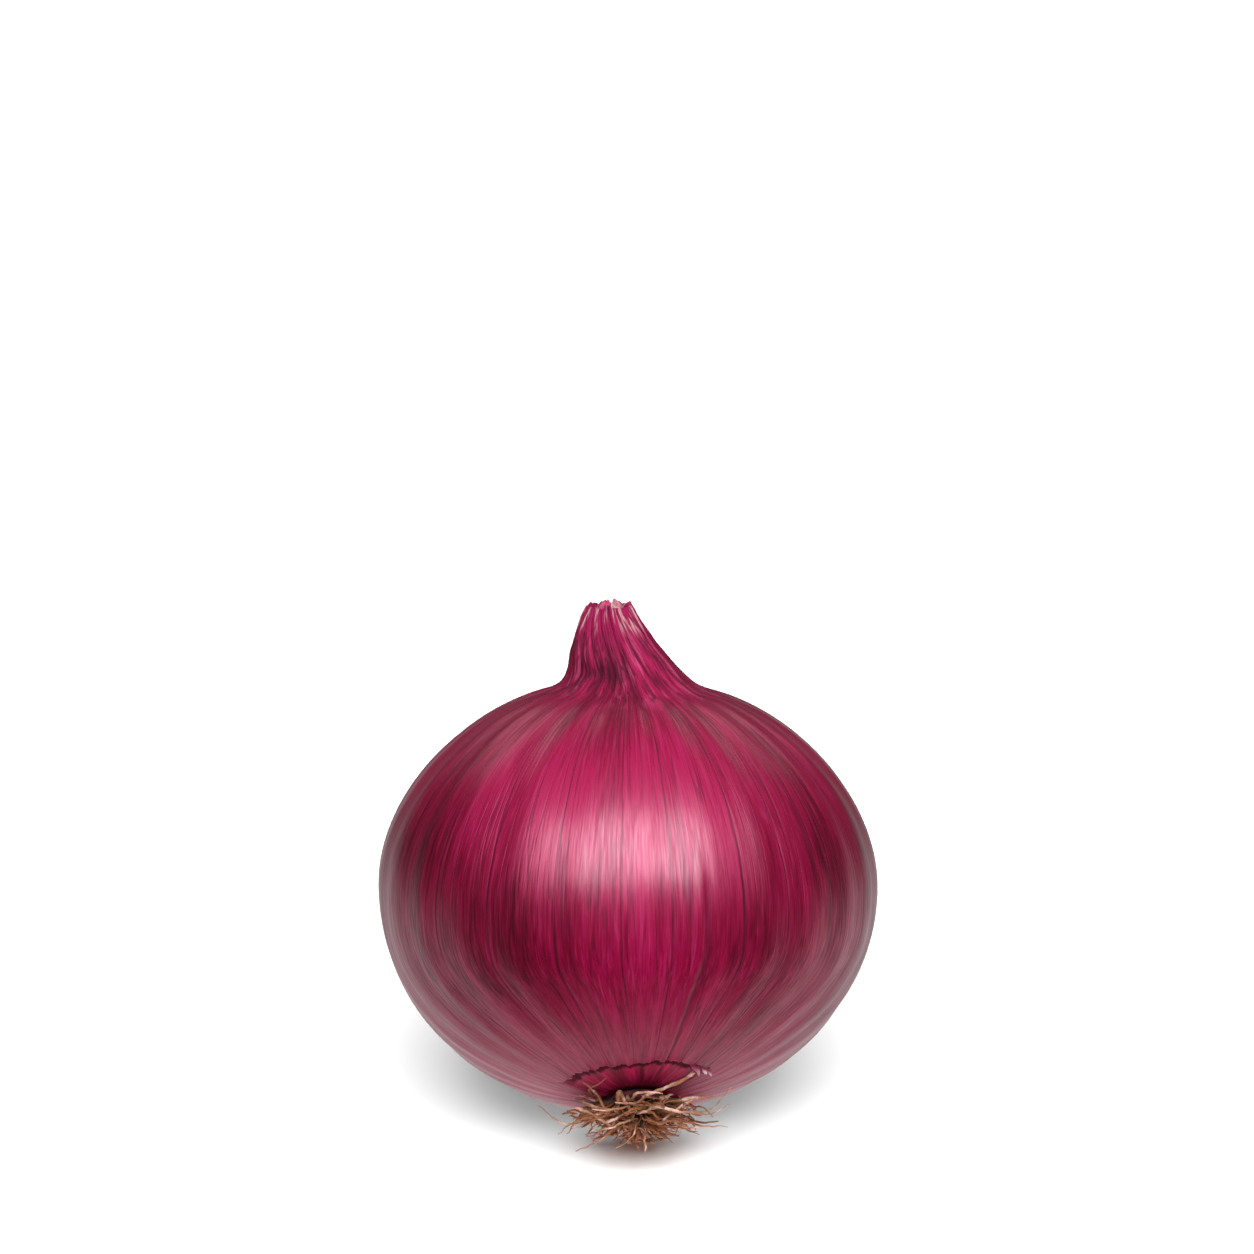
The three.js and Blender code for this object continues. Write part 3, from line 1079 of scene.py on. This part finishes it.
    def _sheet(
        self,
        form: FormTree,
        outline: Field,
        grid: Field,
        turn: Field,
        distance: Field,
        lift: Field,
        groove: Field,
        layer: Value,
    ) -> Field:
        """Lays one grid on the onion's surface and keeps its grain, groove and layer on it.

        Args:
            form: tree that the nodes go into.
            outline: geometry of the half outline.
            grid: the flat grid.
            turn: angle round the axis.
            distance: millimetres along the outline.
            lift: millimetres off the outline.
            groove: how much painted shade a point gets, in a groove, a crease or under the lip.
            layer: 0 on the inner scale, 1 on the dry skin.

        Returns:
            The sheet in place.
        """
        along = distance / self.shape.rim_distance
        kept = form.store(grid, "grain", "FLOAT_VECTOR", form.vector(turn.cos(), turn.sin(), along))
        kept = form.store(kept, "groove", "FLOAT", groove)
        kept = form.store(kept, "layer", "FLOAT", layer)
        return form.moved(kept, self.shape.surface(form, outline, distance, turn, lift))

    def _tear(self, form: FormTree, around: Grain) -> Tuple[Field, Field]:
        """Works out where the skin's lower edge is torn.

        Args:
            form: tree that the nodes go into.
            around: angle round the axis.

        Returns:
            The edge's distance from the root pole in millimetres, and how far it is torn open there.
        """
        swing = around.noise(1.4, 0.0, offset=5.0, detail=0.0) - 0.5
        nick = around.noise(8.0, 0.0, offset=2.0, detail=3.0, roughness=0.65) - 0.5
        ragged = form.size("Tear ragged", self.tear_ragged)
        facing = around.facing(self.tear_bearing)
        pulled = facing.ease(0.05, 0.4)
        opened = facing.ease(0.5, 0.68)
        far = form.size("Tear distance", self.tear_distance) + around.around_x * self.tear_slant
        near = form.size("Tear margin", self.tear_margin) + self.seat_radius
        fray = (swing * 1.3 + nick * 3.4) * ragged * (pulled * 0.5 + 0.5)
        return near + (far - near) * pulled + fray, opened

    def _rim(self, form: FormTree, around: Grain) -> Field:
        """Works out the torn leaf ends at the top of the neck.

        Args:
            form: tree that the nodes go into.
            around: angle round the axis.

        Returns:
            Their distance from the root pole in millimetres.
        """
        spot = form.vector(around.around_x * 2.2, around.around_y * 2.2, 1.3)
        sockets = {"Vector": spot, "Scale": 1.0}
        step, _, _ = form.split(form.read("ShaderNodeTexVoronoi", {"feature": "F1"}, sockets, "Color"))
        fray = around.noise(11.0, 0.0, offset=8.0, detail=2.0) - 0.5
        top = self.shape.rim_distance + self.rim_rise
        return top - form.size("Rim ragged", self.rim_ragged) * (step + fray * 0.35)

    def _relief(self, form: FormTree, around: Grain, distance: Field, tear: Field) -> Tuple[Field, Field]:
        """Works out the skin's ribs, streaks, dents, folds and pleats.

        Args:
            form: tree that the nodes go into.
            around: angle round the axis.
            distance: millimetres along the outline.
            tear: distance of the torn edge.

        Returns:
            The lift off the outline in millimetres, and the painted shade of the pleat valleys, the pinch and
            the fold creases.
        """
        _, shoulder, rim, _ = self.shape.distances()
        along = distance / rim
        grain = around.at(along)
        turn = grain.turn
        body = distance.ease(tear + 2.0, tear + 16.0) * distance.ease(shoulder + 3.0, shoulder - 10.0)
        ribs = (grain.vein_phase(self.finish.veins) * TAU).cos()
        streak = grain.noise(34.0, 5.0, detail=2.0) - 0.5
        dent = grain.noise(1.5, 4.0) - 0.5
        lift = dent * body * form.size("Dent depth", self.dent_depth)
        lift = lift - ribs * body * form.size("Rib height", self.rib_height)
        lift = lift + streak * form.size("Streak height", self.streak_height)
        crease: Value = 0.0
        for fold in self.folds:
            step, dark = self._fold(form, fold, turn, distance)
            lift = lift + step
            crease = dark + crease
        fibre = grain.noise(9.0, 12.0, detail=2.0) - 0.5
        lift = lift + fibre * distance.ease(24.0, 9.0) * form.size("Wrinkle depth", self.wrinkle_depth)

        neck = distance.ease(shoulder - 9.0, rim - 5.0)
        swirl = grain.noise(1.6, 5.0) - 0.5
        shift = grain.noise(3.0, 9.0) - 0.5
        wide = turn * (form.size("Pleats", self.pleats) / TAU) + swirl * 2.4 + along * self.pleat_lean
        narrow = turn * (form.size("Creases", self.creases) / TAU) + shift * 3.0 + along * self.pleat_lean
        wide_ridge = abs((wide * math.pi).sin()) ** 0.6
        narrow_ridge = abs((narrow * math.pi).sin()) ** 0.6
        pleat = wide_ridge * 0.8 + narrow_ridge * 0.3 - 0.7
        lift = lift + pleat * neck * form.size("Pleat depth", self.pleat_depth)
        crinkle = grain.noise(6.0, 16.0, detail=3.0) - 0.5
        lift = lift + crinkle * neck * form.size("Crinkle depth", self.crinkle_depth)
        left_swell = distance.bump(rim - 8.5, 4.5) * (-grain.around_x).ease(0.5, 1.0)
        right_swell = distance.ease(rim - 9.0, rim - 1.0) * grain.around_x.ease(0.5, 1.0)
        lift = lift + (left_swell + right_swell) * form.size("Neck swell", self.neck_swell)
        pinch = distance.bump(shoulder + 5.5, 1.6) * grain.facing(self.pinch_turn).ease(0.75, 1.0)
        lift = lift - pinch * form.size("Pinch depth", self.pinch_depth)
        # Painted shade in the pleat valleys and the pinch, with the fold creases' own
        groove = wide_ridge.ease(0.4, 0.1) + narrow_ridge.ease(0.4, 0.1) * 0.5
        return lift, (groove * neck + pinch * 0.6 + crease).at_most(1.0)

    def _fold(self, form: FormTree, fold: Fold, turn: Field, distance: Field) -> Tuple[Field, Field]:
        """Steps the skin down across a lengthwise fold, from its left to its right.

        Args:
            form: tree that the nodes go into.
            fold: where the fold runs and how deep it is.
            turn: angle round the axis.
            distance: millimetres along the outline.

        Returns:
            The lift that the fold gives in millimetres, and the painted shade in its crease.
        """
        sway = form.noise(form.vector(distance * 0.09, 1.0, math.radians(fold.turn)), 1.0) - 0.5
        off = form.maths("WRAP", turn - math.radians(fold.turn) + sway * 0.05, math.pi, -math.pi)
        gap = off * self.shape.equator_radius
        lip = (gap / 2.2).at_most(0.0).exp() * gap.ease(0.25, -0.25)
        drop = (gap / -1.8).at_most(0.0).exp() * gap.ease(-0.25, 0.25)
        span = distance.ease(fold.start - 6.0, fold.start) * distance.ease(fold.end + 14.0, fold.end)
        depth = span * form.size(f"Fold at {fold.turn:g}", fold.depth)
        # The crease's painted shade lies just past the step, on its low side
        return (lip * 0.4 - drop * 0.6) * depth, gap.bump(0.45, 0.5) * depth * 1.3


@dataclass(frozen=True)
class Strand:
    """One root with a path of its own: right, forward and down from the root pole, and its radius there."""

    points: Sequence[Tuple[float, float, float, float]]


@dataclass
class RootTuft:
    """The dry roots under the bulb and the stem plate that they grow from."""

    shape: OnionShape
    finish: RootFinish = field(default_factory=RootFinish)
    plate_finish: PlateFinish = field(default_factory=PlateFinish)
    count: int = 220
    steps: int = 22
    sides: int = 6
    strand_steps: int = 40
    plate_turns: int = 96
    plate_rings: int = 28
    plate_radius: float = 4.4
    plate_back: float = -1.2
    plate_nose: float = 0.8
    thickness: float = 0.34
    sunk: float = 0.8
    near: float = 4.5
    far: float = 12.5
    curl: float = 5.0
    kink: float = 1.6
    sag: float = 1.6
    floor_gap: float = 0.45
    strand_girth: float = 0.72
    strand_kink: float = 0.5
    seed: float = 17.0
    strands: Sequence[Strand] = (
        Strand((
            (-0.3, 0.8, -0.3, 0.5), (-0.6, 4.4, 2.6, 0.48), (0.1, 5.6, 1.8, 0.46), (1.6, 6.9, 1.05, 0.44),
            (3.6, 7.5, 0.4, 0.42), (6.2, 8.2, -0.3, 0.4), (8.0, 9.0, -1.1, 0.36), (8.9, 9.7, -1.6, 0.5),
        )),
        Strand((
            (-3.4, 5.4, 3.4, 0.26), (-3.2, 6.0, 1.7, 0.42), (-3.0, 6.4, 0.4, 0.72), (-2.9, 6.5, -0.1, 0.4),
        )),
        Strand(((-2.9, 6.4, 0.4, 0.55), (-1.6, 5.5, 2.3, 0.36), (-0.5, 5.2, 3.3, 0.24))),
        Strand(((3.2, 3.0, 0.8, 0.3), (3.5, 5.0, 1.2, 0.66), (4.2, 5.6, 1.1, 0.44), (5.2, 6.2, 1.0, 0.18))),
        Strand((
            (-4.0, 2.2, 1.8, 0.42), (-5.0, 3.8, 2.4, 0.4), (-6.3, 5.0, 0.2, 0.34), (-8.4, 7.8, -1.2, 0.14),
        )),
        Strand(((3.4, 1.6, 1.0, 0.4), (6.6, 3.8, 1.2, 0.5), (9.0, 3.4, 0.9, 0.44), (11.6, 3.0, 0.6, 0.16))),
        Strand((
            (-4.5, 2.5, 1.4, 0.3), (-8.0, 3.4, 3.4, 0.22), (-11.1, 3.5, 4.1, 0.15), (-15.6, 2.5, 0.6, 0.06),
        )),
        Strand(((-5.0, 3.2, 2.4, 0.26), (-10.2, 4.0, 4.1, 0.16), (-12.7, 4.0, 5.9, 0.06))),
        Strand(((-2.5, 3.5, 4.0, 0.28), (-6.3, 5.0, 7.4, 0.2), (-10.0, 5.0, 9.0, 0.08))),
        Strand(((-0.4, 4.0, 4.6, 0.26), (-1.3, 6.0, 7.4, 0.2), (-3.9, 6.0, 9.3, 0.07))),
        Strand((
            (4.2, 3.6, 3.4, 0.28), (6.3, 4.5, 5.6, 0.2), (10.2, 4.0, 5.7, 0.14), (13.7, 4.0, 5.9, 0.05),
        )),
        Strand((
            (5.0, 3.0, 2.2, 0.28), (8.6, 3.6, 3.2, 0.22), (10.9, 3.5, 3.6, 0.14), (14.2, 3.0, 1.9, 0.05),
        )),
        Strand((
            (4.6, 2.6, 1.6, 0.26), (7.6, 3.2, 2.8, 0.2), (10.3, 3.0, 3.0, 0.13), (14.7, 2.5, -1.0, 0.05),
        )),
        Strand((
            (-6.2, 4.2, 4.6, 0.22), (-3.6, 5.4, 4.2, 0.34), (-1.4, 5.9, 3.2, 0.3), (0.2, 5.6, 2.8, 0.24),
        )),
        Strand((
            (-0.4, 5.8, 3.6, 0.28), (1.4, 6.3, 3.4, 0.34), (2.9, 5.9, 2.6, 0.26), (3.0, 5.2, 1.9, 0.2),
        )),
        Strand(((3.6, 6.2, 5.0, 0.24), (5.6, 5.4, 3.4, 0.32), (7.6, 4.8, 2.0, 0.3), (9.2, 4.2, 0.9, 0.22))),
        Strand((
            (-9.4, 3.2, 1.6, 0.26), (-7.4, 4.4, 3.0, 0.34), (-5.6, 5.2, 4.4, 0.3), (-4.4, 5.6, 5.4, 0.2),
        )),
        Strand((
            (-9.6, 2.6, -0.2, 0.22), (-7.2, 4.0, 1.6, 0.34), (-4.8, 5.0, 2.6, 0.3), (-3.4, 5.4, 3.2, 0.2),
        )),
    )

    def build(self) -> Sequence[bpy.types.Object]:
        """Makes the stem plate and the roots."""
        return [self._plate(), self._roots()]

    def _draw(self, form: FormTree, index: Field, row: int) -> Field:
        """Draws one random value from 0 to 1 for each root."""
        return form.draw(index, form.size(f"Seed {row}", self.seed + row))

    def _guide(self) -> bpy.types.Object:
        """Makes the strands' paths.

        Returns:
            The paths as a curve in the upright frame, in millimetres.
        """
        curve = bpy.data.curves.new("strands", "CURVE")
        curve.dimensions = "3D"
        for strand in self.strands:
            spline = curve.splines.new("BEZIER")
            spline.bezier_points.add(len(strand.points) - 1)
            for point, (right, forward, down, radius) in zip(spline.bezier_points, strand.points):
                point.co = (right, -forward, -self.shape.base_depth - down)
                point.radius = radius
                point.handle_left_type = "AUTO"
                point.handle_right_type = "AUTO"
        return put("strands", curve)

    def _kept(
        self,
        form: FormTree,
        lines: Field,
        reach: Field,
        tint: Value,
        girth: Field,
        place: Field,
    ) -> Field:
        """Keeps what a root needs on its line and lays the line in place.

        Args:
            form: tree that the nodes go into.
            lines: the lines.
            reach: 0 at the plate, 1 at the tip.
            tint: random value of the root.
            girth: radius in metres.
            place: position in metres.

        Returns:
            The laid lines.
        """
        kept = form.store(lines, "reach", "FLOAT", reach)
        kept = form.store(kept, "tint", "FLOAT", tint)
        kept = form.store(kept, "girth", "FLOAT", girth)
        return form.moved(kept, place)

    def _roots(self) -> bpy.types.Object:
        """Makes the roots as tubes round the sown lines and the strands.

        Returns:
            The finished piece.
        """
        form = FormTree("root_form")
        guide = self._guide()
        t = form.read("GeometryNodeSplineParameter", None, None, "Factor")
        lines = form.joined(self._sown(form, t), self._strands(form, t, guide))
        sockets = {"Resolution": form.size("Sides", self.sides), "Radius": 1.0}
        ring = form.read("GeometryNodeCurvePrimitiveCircle", None, sockets, "Curve")
        settings = {"data_type": "FLOAT"}
        girth = form.read("GeometryNodeInputNamedAttribute", settings, {"Name": "girth"}, "Attribute")
        sockets = {"Curve": lines, "Profile Curve": ring, "Scale": girth, "Fill Caps": True}
        tubes = form.read("GeometryNodeCurveToMesh", None, sockets, "Mesh")
        piece = form.make(tubes, "dry_roots", self.finish.material())
        bpy.data.objects.remove(guide)
        return piece

    def _sown(self, form: FormTree, t: Field) -> Field:
        """Sows lines on the plate that run outward and down, curling and tapering.

        Args:
            form: tree that the nodes go into.
            t: share along each line.

        Returns:
            The lines in place.
        """
        line = form.read("GeometryNodeCurvePrimitiveLine", None, {"End": (0.0, 0.0, 1.0)}, "Curve")
        sockets = {"Curve": line, "Count": form.size("Steps", self.steps)}
        fine = form.read("GeometryNodeResampleCurve", None, sockets, "Curve")
        lines, index = form.copies(fine, form.size("Roots", self.count))
        share = (index + 0.5) / float(self.count)
        heading = index * GOLDEN_ANGLE
        front = (-heading.sin()).ease(0.1, 1.0)
        start = share ** 0.5 * (0.9 * self.plate_radius) * (1.0 - front * 0.5)
        near = form.size("Nearest reach", self.near)
        span = near + self._draw(form, index, 1) * (form.size("Farthest reach", self.far) - near)
        reach = start + span * (share * 0.6 + 0.4)
        sway = (self._draw(form, index, 3) - 0.5) * 2.4
        bearing = heading + sway * t
        side = abs(heading.cos()).ease(0.5, 1.0)
        drop = (4.4 - share * 3.3 + front * 2.2 - side * 1.2) * (self._draw(form, index, 2) * 0.7 + 0.6)
        radius = start + (reach - start) * t ** 1.2
        fall = (1.0 - (1.0 - t) ** 2.2) * (drop + self.sunk) - form.size("Sunk", self.sunk)
        bend_x, bend_y, bend_z = self._bend(form, t * 1.6 + index * 3.1, index * 7.3)
        kink_x, kink_y, kink_z = self._bend(form, t * 5.0 + index * 5.3, index * 2.9)
        loose = t * form.size("Curl", self.curl)
        crook = (t * 4.0).at_most(1.0) * form.size("Kink", self.kink)
        x = bearing.cos() * radius + bend_x * loose + kink_x * crook
        y = bearing.sin() * radius + bend_y * loose + kink_y * crook
        z = -self.shape.base_depth - fall + bend_z.at_most(0.1) * loose * 0.6 + kink_z.at_most(0.2) * crook
        hang = t * t * self._draw(form, index, 4) * form.size("Sag", self.sag)
        tint = self._draw(form, index, 5)
        knobs = form.noise(form.vector(t * 5.0, index * 5.7, 2.0), 1.0) * 0.9 + 0.55
        thick = form.size("Thickness", self.thickness) * (self._draw(form, index, 6) ** 2.0 * 0.8 + 0.6)
        girth = thick * (1.0 - t ** 2.0 * 0.72) * knobs * MM
        return self._kept(form, lines, t, tint, girth, self._laid(form, x, y, z, hang))

    def _strands(self, form: FormTree, t: Field, guide: bpy.types.Object) -> Field:
        """Lays the strands along their paths, a little kinked.

        Args:
            form: tree that the nodes go into.
            t: share along each path.
            guide: the paths.

        Returns:
            The lines in place.
        """
        steps = form.size("Strand steps", self.strand_steps)
        sockets = {"Curve": form.guide("Strands", guide), "Count": steps}
        paths = form.read("GeometryNodeResampleCurve", None, sockets, "Curve")
        x, y, z = form.split(form.read("GeometryNodeInputPosition", None, None, "Position"))
        kinks = self._bend(form, x * 0.9 + z * 0.4, y * 0.9)
        kinked = [way + kink * self.strand_kink for way, kink in zip((x, y, z), kinks)]
        swell = form.noise(form.vector(x * 0.8, y * 0.8, z * 0.8), 2.0) * 0.8 + 0.6
        girth = form.read("GeometryNodeInputRadius", None, None, "Radius") * swell * (self.strand_girth * MM)
        return self._kept(form, paths, t * 0.5 + 0.4, 0.75, girth, self._laid(form, *kinked, 0.0))

    def _bend(self, form: FormTree, along: Field, across: Field) -> Tuple[Field, Field, Field]:
        """Works out smooth random offsets.

        Args:
            form: tree that the nodes go into.
            along: where the noise is read along a line.
            across: where it is read from line to line.

        Returns:
            Three offsets, each from about -0.5 to 0.5.
        """
        sockets = {"Vector": form.vector(along, across, 0.5), "Scale": 1.0, "Detail": 1.0}
        x, y, z = form.split(form.read("ShaderNodeTexNoise", None, sockets, "Color"))
        return x - 0.5, y - 0.5, z - 0.5

    def _laid(self, form: FormTree, x: Field, y: Field, z: Field, hang: Value) -> Field:
        """Places root points in metres, hung down a little and kept over the floor."""
        right, back, up = self.shape.place(form, x, y, z)
        return form.vector(right * MM, back * MM, (up - hang).at_least(self.floor_gap) * MM)

    def _plate(self) -> bpy.types.Object:
        """Makes the stem plate: a lumpy closed cushion in the seat of the bulb.

        Returns:
            The finished piece.
        """
        form = FormTree("plate_form")
        turns = form.size("Turns", self.plate_turns) + 1.0
        grid, u, v = form.grid(turns, form.size("Rings", self.plate_rings) + 1.0)
        turn = u * TAU
        arc = v * math.pi
        lump = form.noise(form.vector(turn.cos() * 3.0, turn.sin() * 3.0, v * 9.0), 3.0) - 0.5
        radius = arc.sin() ** 0.45 * (form.size("Plate radius", self.plate_radius) + lump * 0.3)
        middle = (self.plate_nose + self.plate_back) / 2
        half = (self.plate_nose - self.plate_back) / 2
        drop = middle + arc.cos() * half + lump * arc.sin() * v.ease(0.6, 0.3) * 0.9
        height = -self.shape.base_depth - drop
        x, y, z = self.shape.place(form, radius * turn.cos(), radius * turn.sin(), height)
        laid = form.moved(grid, form.vector(x * MM, y * MM, z * MM))
        return form.make(form.welded(laid), "stem_plate", self.plate_finish.material())


@dataclass
class Blades:
    """Thin dry scraps of leaf or skin, each a closed blade that starts on the onion's surface."""

    shape: OnionShape
    name: str
    finish: BladeFinish
    count: int
    bearing: float
    step: float
    distance: float
    length: Tuple[float, float]
    width: Tuple[float, float]
    axis_distance: float
    lift: Tuple[float, float]
    curl: Tuple[float, float]
    skew: float = 0.0
    cup: float = 0.25
    thickness: float = 0.16
    seed: float = 3.0
    turns: int = 24
    rings: int = 16

    def build(self, guide: bpy.types.Object) -> bpy.types.Object:
        """Makes the blades by a seeded rule.

        Args:
            guide: the half outline.

        Returns:
            The finished piece.
        """
        form = FormTree(f"{self.name}_form")
        outline = form.guide("Half outline", guide)
        grid, u, v = form.grid(form.size("Turns", self.turns) + 1.0, form.size("Rings", self.rings) + 1.0)
        sheets, index = form.copies(grid, form.size("Blades", self.count))
        facing = math.copysign(1.0, -self.length[0])
        across = (u * TAU).cos()
        side = (u * TAU).sin() * facing
        length = self._range(form, index, "Length", self.length, 1)
        width = self._range(form, index, "Width", self.width, 2)
        lift = self._range(form, index, "Lift", self.lift, 3)
        curl = self._range(form, index, "Curl", self.curl, 4)
        ragged = form.noise(form.vector(v * 3.0 + index * 9.0, across * 1.2, 4.0), 2.0) - 0.5
        half = width * 0.5 * (1.0 - v ** 7.0 * 0.7) * (1.0 + ragged * 0.7)
        bearing = math.radians(self.bearing) + index * math.radians(self.step) + v * self.skew
        turn = bearing + across * half / self.axis_distance
        distance = self.distance + length * v * (1.0 + ragged * across * 0.5)
        body = (v * math.pi).sin().at_least(0.0) ** 0.4 * form.size("Thickness", self.thickness) * 0.5
        rise = lift + curl * v * v + across * across * self.cup * v + ragged * 0.3 * v + side * body
        kept = form.store(sheets, "reach", "FLOAT", v)
        kept = form.store(kept, "tint", "FLOAT", self._range(form, index, "Tint", (0.0, 1.0), 5))
        laid = form.moved(kept, self.shape.surface(form, outline, distance, turn, rise))
        return form.make(form.welded(laid), self.name, self.finish.material())

    def _range(self, form: FormTree, index: Field, name: str, limits: Tuple[float, float], row: int) -> Field:
        """Draws a random size for each blade.

        Args:
            form: tree that the nodes go into.
            index: number of the blade.
            name: what the size is.
            limits: least and greatest size.
            row: row of the random draws.

        Returns:
            The size as a field.
        """
        draw = form.draw(index, self.seed + row)
        least = form.size(f"Least {name.lower()}", limits[0])
        return least + draw * (form.size(f"Greatest {name.lower()}", limits[1]) - least)


@dataclass(frozen=True)
class Panel:
    """A soft light panel that faces the onion, in watts, metres and degrees.

    The rise is from the floor up, and the bearing from the camera's side round to the right.
    """

    name: str
    power: float
    size: Tuple[float, float]
    distance: float
    rise: float
    bearing: float = 0.0
    mirrored: bool = True

    def hang(self, middle: Vector) -> None:
        """Adds the light; glossy surfaces show it only if it is mirrored.

        Args:
            middle: the point that the panel faces, in metres.
        """
        data = bpy.data.lights.new(self.name, "AREA")
        data.shape = "RECTANGLE"
        data.size, data.size_y = self.size
        data.energy = self.power
        data.cycles.use_multiple_importance_sampling = self.mirrored
        panel = put(self.name, data)
        turn, up = math.radians(self.bearing), math.radians(self.rise)
        way = Vector((math.sin(turn) * math.cos(up), -math.cos(turn) * math.cos(up), math.sin(up)))
        panel.location = middle + way * self.distance
        panel.rotation_euler = way.to_track_quat("Z", "Y").to_euler()
        panel.visible_glossy = self.mirrored


@dataclass
class Studio:
    """Pale floor, soft lights and the camera of the photograph's view."""

    shape: OnionShape
    elevation: float = 25.0
    lens: float = 275.0
    sensor: float = 36.0
    image_width: int = 1254
    onion_width: int = 499
    onion_middle: Tuple[int, int] = (628, 885)
    floor_half: float = 3.0
    surround: float = 0.02
    bounce: float = 0.7
    panels: Sequence[Panel] = (
        Panel("key_panel", power=180.0, size=(3.4, 1.8), distance=2.5, rise=58.0, bearing=5.0),
        Panel("left_back_panel", power=5.3, size=(1.5, 1.2), distance=3.0, rise=31.0, bearing=209.0),
        Panel("right_back_panel", power=5.0, size=(1.5, 1.2), distance=3.0, rise=31.0, bearing=153.0),
        Panel("top_panel", power=30.0, size=(3.0, 3.0), distance=2.5, rise=88.0, mirrored=False),
        Panel("under_panel", power=18.5, size=(1.4, 1.4), distance=0.6, rise=-75.0, mirrored=False),
    )

    def build(self) -> None:
        """Sets up everything round the onion."""
        self._floor()
        self._camera()
        self._world()
        for panel in self.panels:
            panel.hang(self._middle())
        bpy.context.scene.view_settings.view_transform = "Standard"

    def _floor(self) -> None:
        """Lays the floor, which lets through the light that stands in for its own bounce."""
        half = self.floor_half
        corners = [(-half, -half, 0), (half, -half, 0), (half, half, 0), (-half, half, 0)]
        mesh = bpy.data.meshes.new("floor")
        mesh.from_pydata(corners, [], [(0, 1, 2, 3)])
        mesh.materials.append(FloorFinish().material())
        floor = put("floor", mesh)
        floor.visible_glossy = False
        floor.visible_diffuse = False
        floor.visible_shadow = False

    def _middle(self) -> Vector:
        """Middle of the onion's widest ring, in metres."""
        return Vector(self.shape.centre) * MM

    def _camera(self) -> None:
        """Sets the camera so that the onion has its place and size in the photograph's frame."""
        focal = self.image_width * self.lens / self.sensor
        distance = focal * 2 * self.shape.equator_radius * MM / self.onion_width
        rise = math.radians(self.elevation)
        across = math.atan((self.onion_middle[0] - self.image_width / 2) / focal)
        down = math.atan((self.onion_middle[1] - self.image_width / 2) / focal)
        data = bpy.data.cameras.new("camera")
        data.lens = self.lens
        data.sensor_width = self.sensor
        camera = put("camera", data)
        camera.location = self._middle() + Vector((0, -math.cos(rise), math.sin(rise))) * distance
        camera.rotation_euler = (math.pi / 2 - rise + down, 0, across)
        bpy.context.scene.camera = camera

    def _world(self) -> None:
        """Gives a dim surround that glows below the floor's level, brighter towards the back."""
        world = bpy.data.worlds.new("surround")
        world.use_nodes = True
        graph = Graph(world.node_tree)
        graph.tree.nodes.clear()
        way = graph.read("ShaderNodeTexCoord", None, None, "Generated")
        _, back, up = graph.split(way)
        behind = back - (up + 0.42) * 0.5
        glow = self.surround + up.ease(-0.02, -0.45) * behind.ease(-0.45, 0.15) * self.bounce
        sockets = {"Color": (1.0, 1.0, 1.0, 1.0), "Strength": glow}
        light = graph.read("ShaderNodeBackground", None, sockets, "Background")
        graph.node("ShaderNodeOutputWorld", None, {"Surface": light})
        bpy.context.scene.world = world


def attach(piece: bpy.types.Object, node: Node) -> None:
    """Hands a finished piece to the frame.

    Args:
        piece: the piece, in place.
        node: the solid that it stands for.
    """
    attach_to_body(piece, "root")
    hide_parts(node.value)
    LOG.info("%s: %d faces", piece.name, len(piece.data.polygons))


def main() -> None:
    """Builds the onion and the studio."""
    logging.basicConfig(level=logging.INFO)
    shape = OnionShape()
    guide = shape.outline()
    bulb = Bulb(shape)
    bulb_piece = bulb.build(guide)
    # Its red bounce is kept off the roots and the floor
    bulb_piece.visible_diffuse = False
    attach(bulb_piece, Node.BULB)
    leaf_tips = Blades(
        shape=shape,
        name="neck_leaf_tips",
        finish=BladeFinish("dry_leaf_tip", tone("5a0a28"), tone("8a1244"), tone("a08886")),
        count=28,
        bearing=-100.0,
        step=math.degrees(GOLDEN_ANGLE),
        distance=shape.rim_distance - 4.5,
        length=(4.8, 6.5),
        width=(3.0, 4.4),
        axis_distance=3.0,
        lift=(-2.0, -0.2),
        curl=(-1.6, -0.2),
    )
    flaps = Blades(
        shape=shape,
        name="torn_skin_flaps",
        finish=BladeFinish("torn_skin", tone("6a1436"), tone("8c4460"), tone("c0a0a8")),
        count=4,
        bearing=-53.0,
        step=4.6,
        distance=bulb.tear_distance + 0.2,
        length=(-1.5, -0.6),
        width=(0.5, 1.2),
        axis_distance=13.0,
        lift=(-0.1, 0.2),
        curl=(0.2, 0.8),
        skew=0.08,
    )
    for blades in (leaf_tips, flaps):
        attach(blades.build(guide), Node.BULB)
    for piece in RootTuft(shape).build():
        attach(piece, Node.TUFT)
    bpy.data.objects.remove(guide)
    Studio(shape).build()


if __name__ == "__main__":
    main()
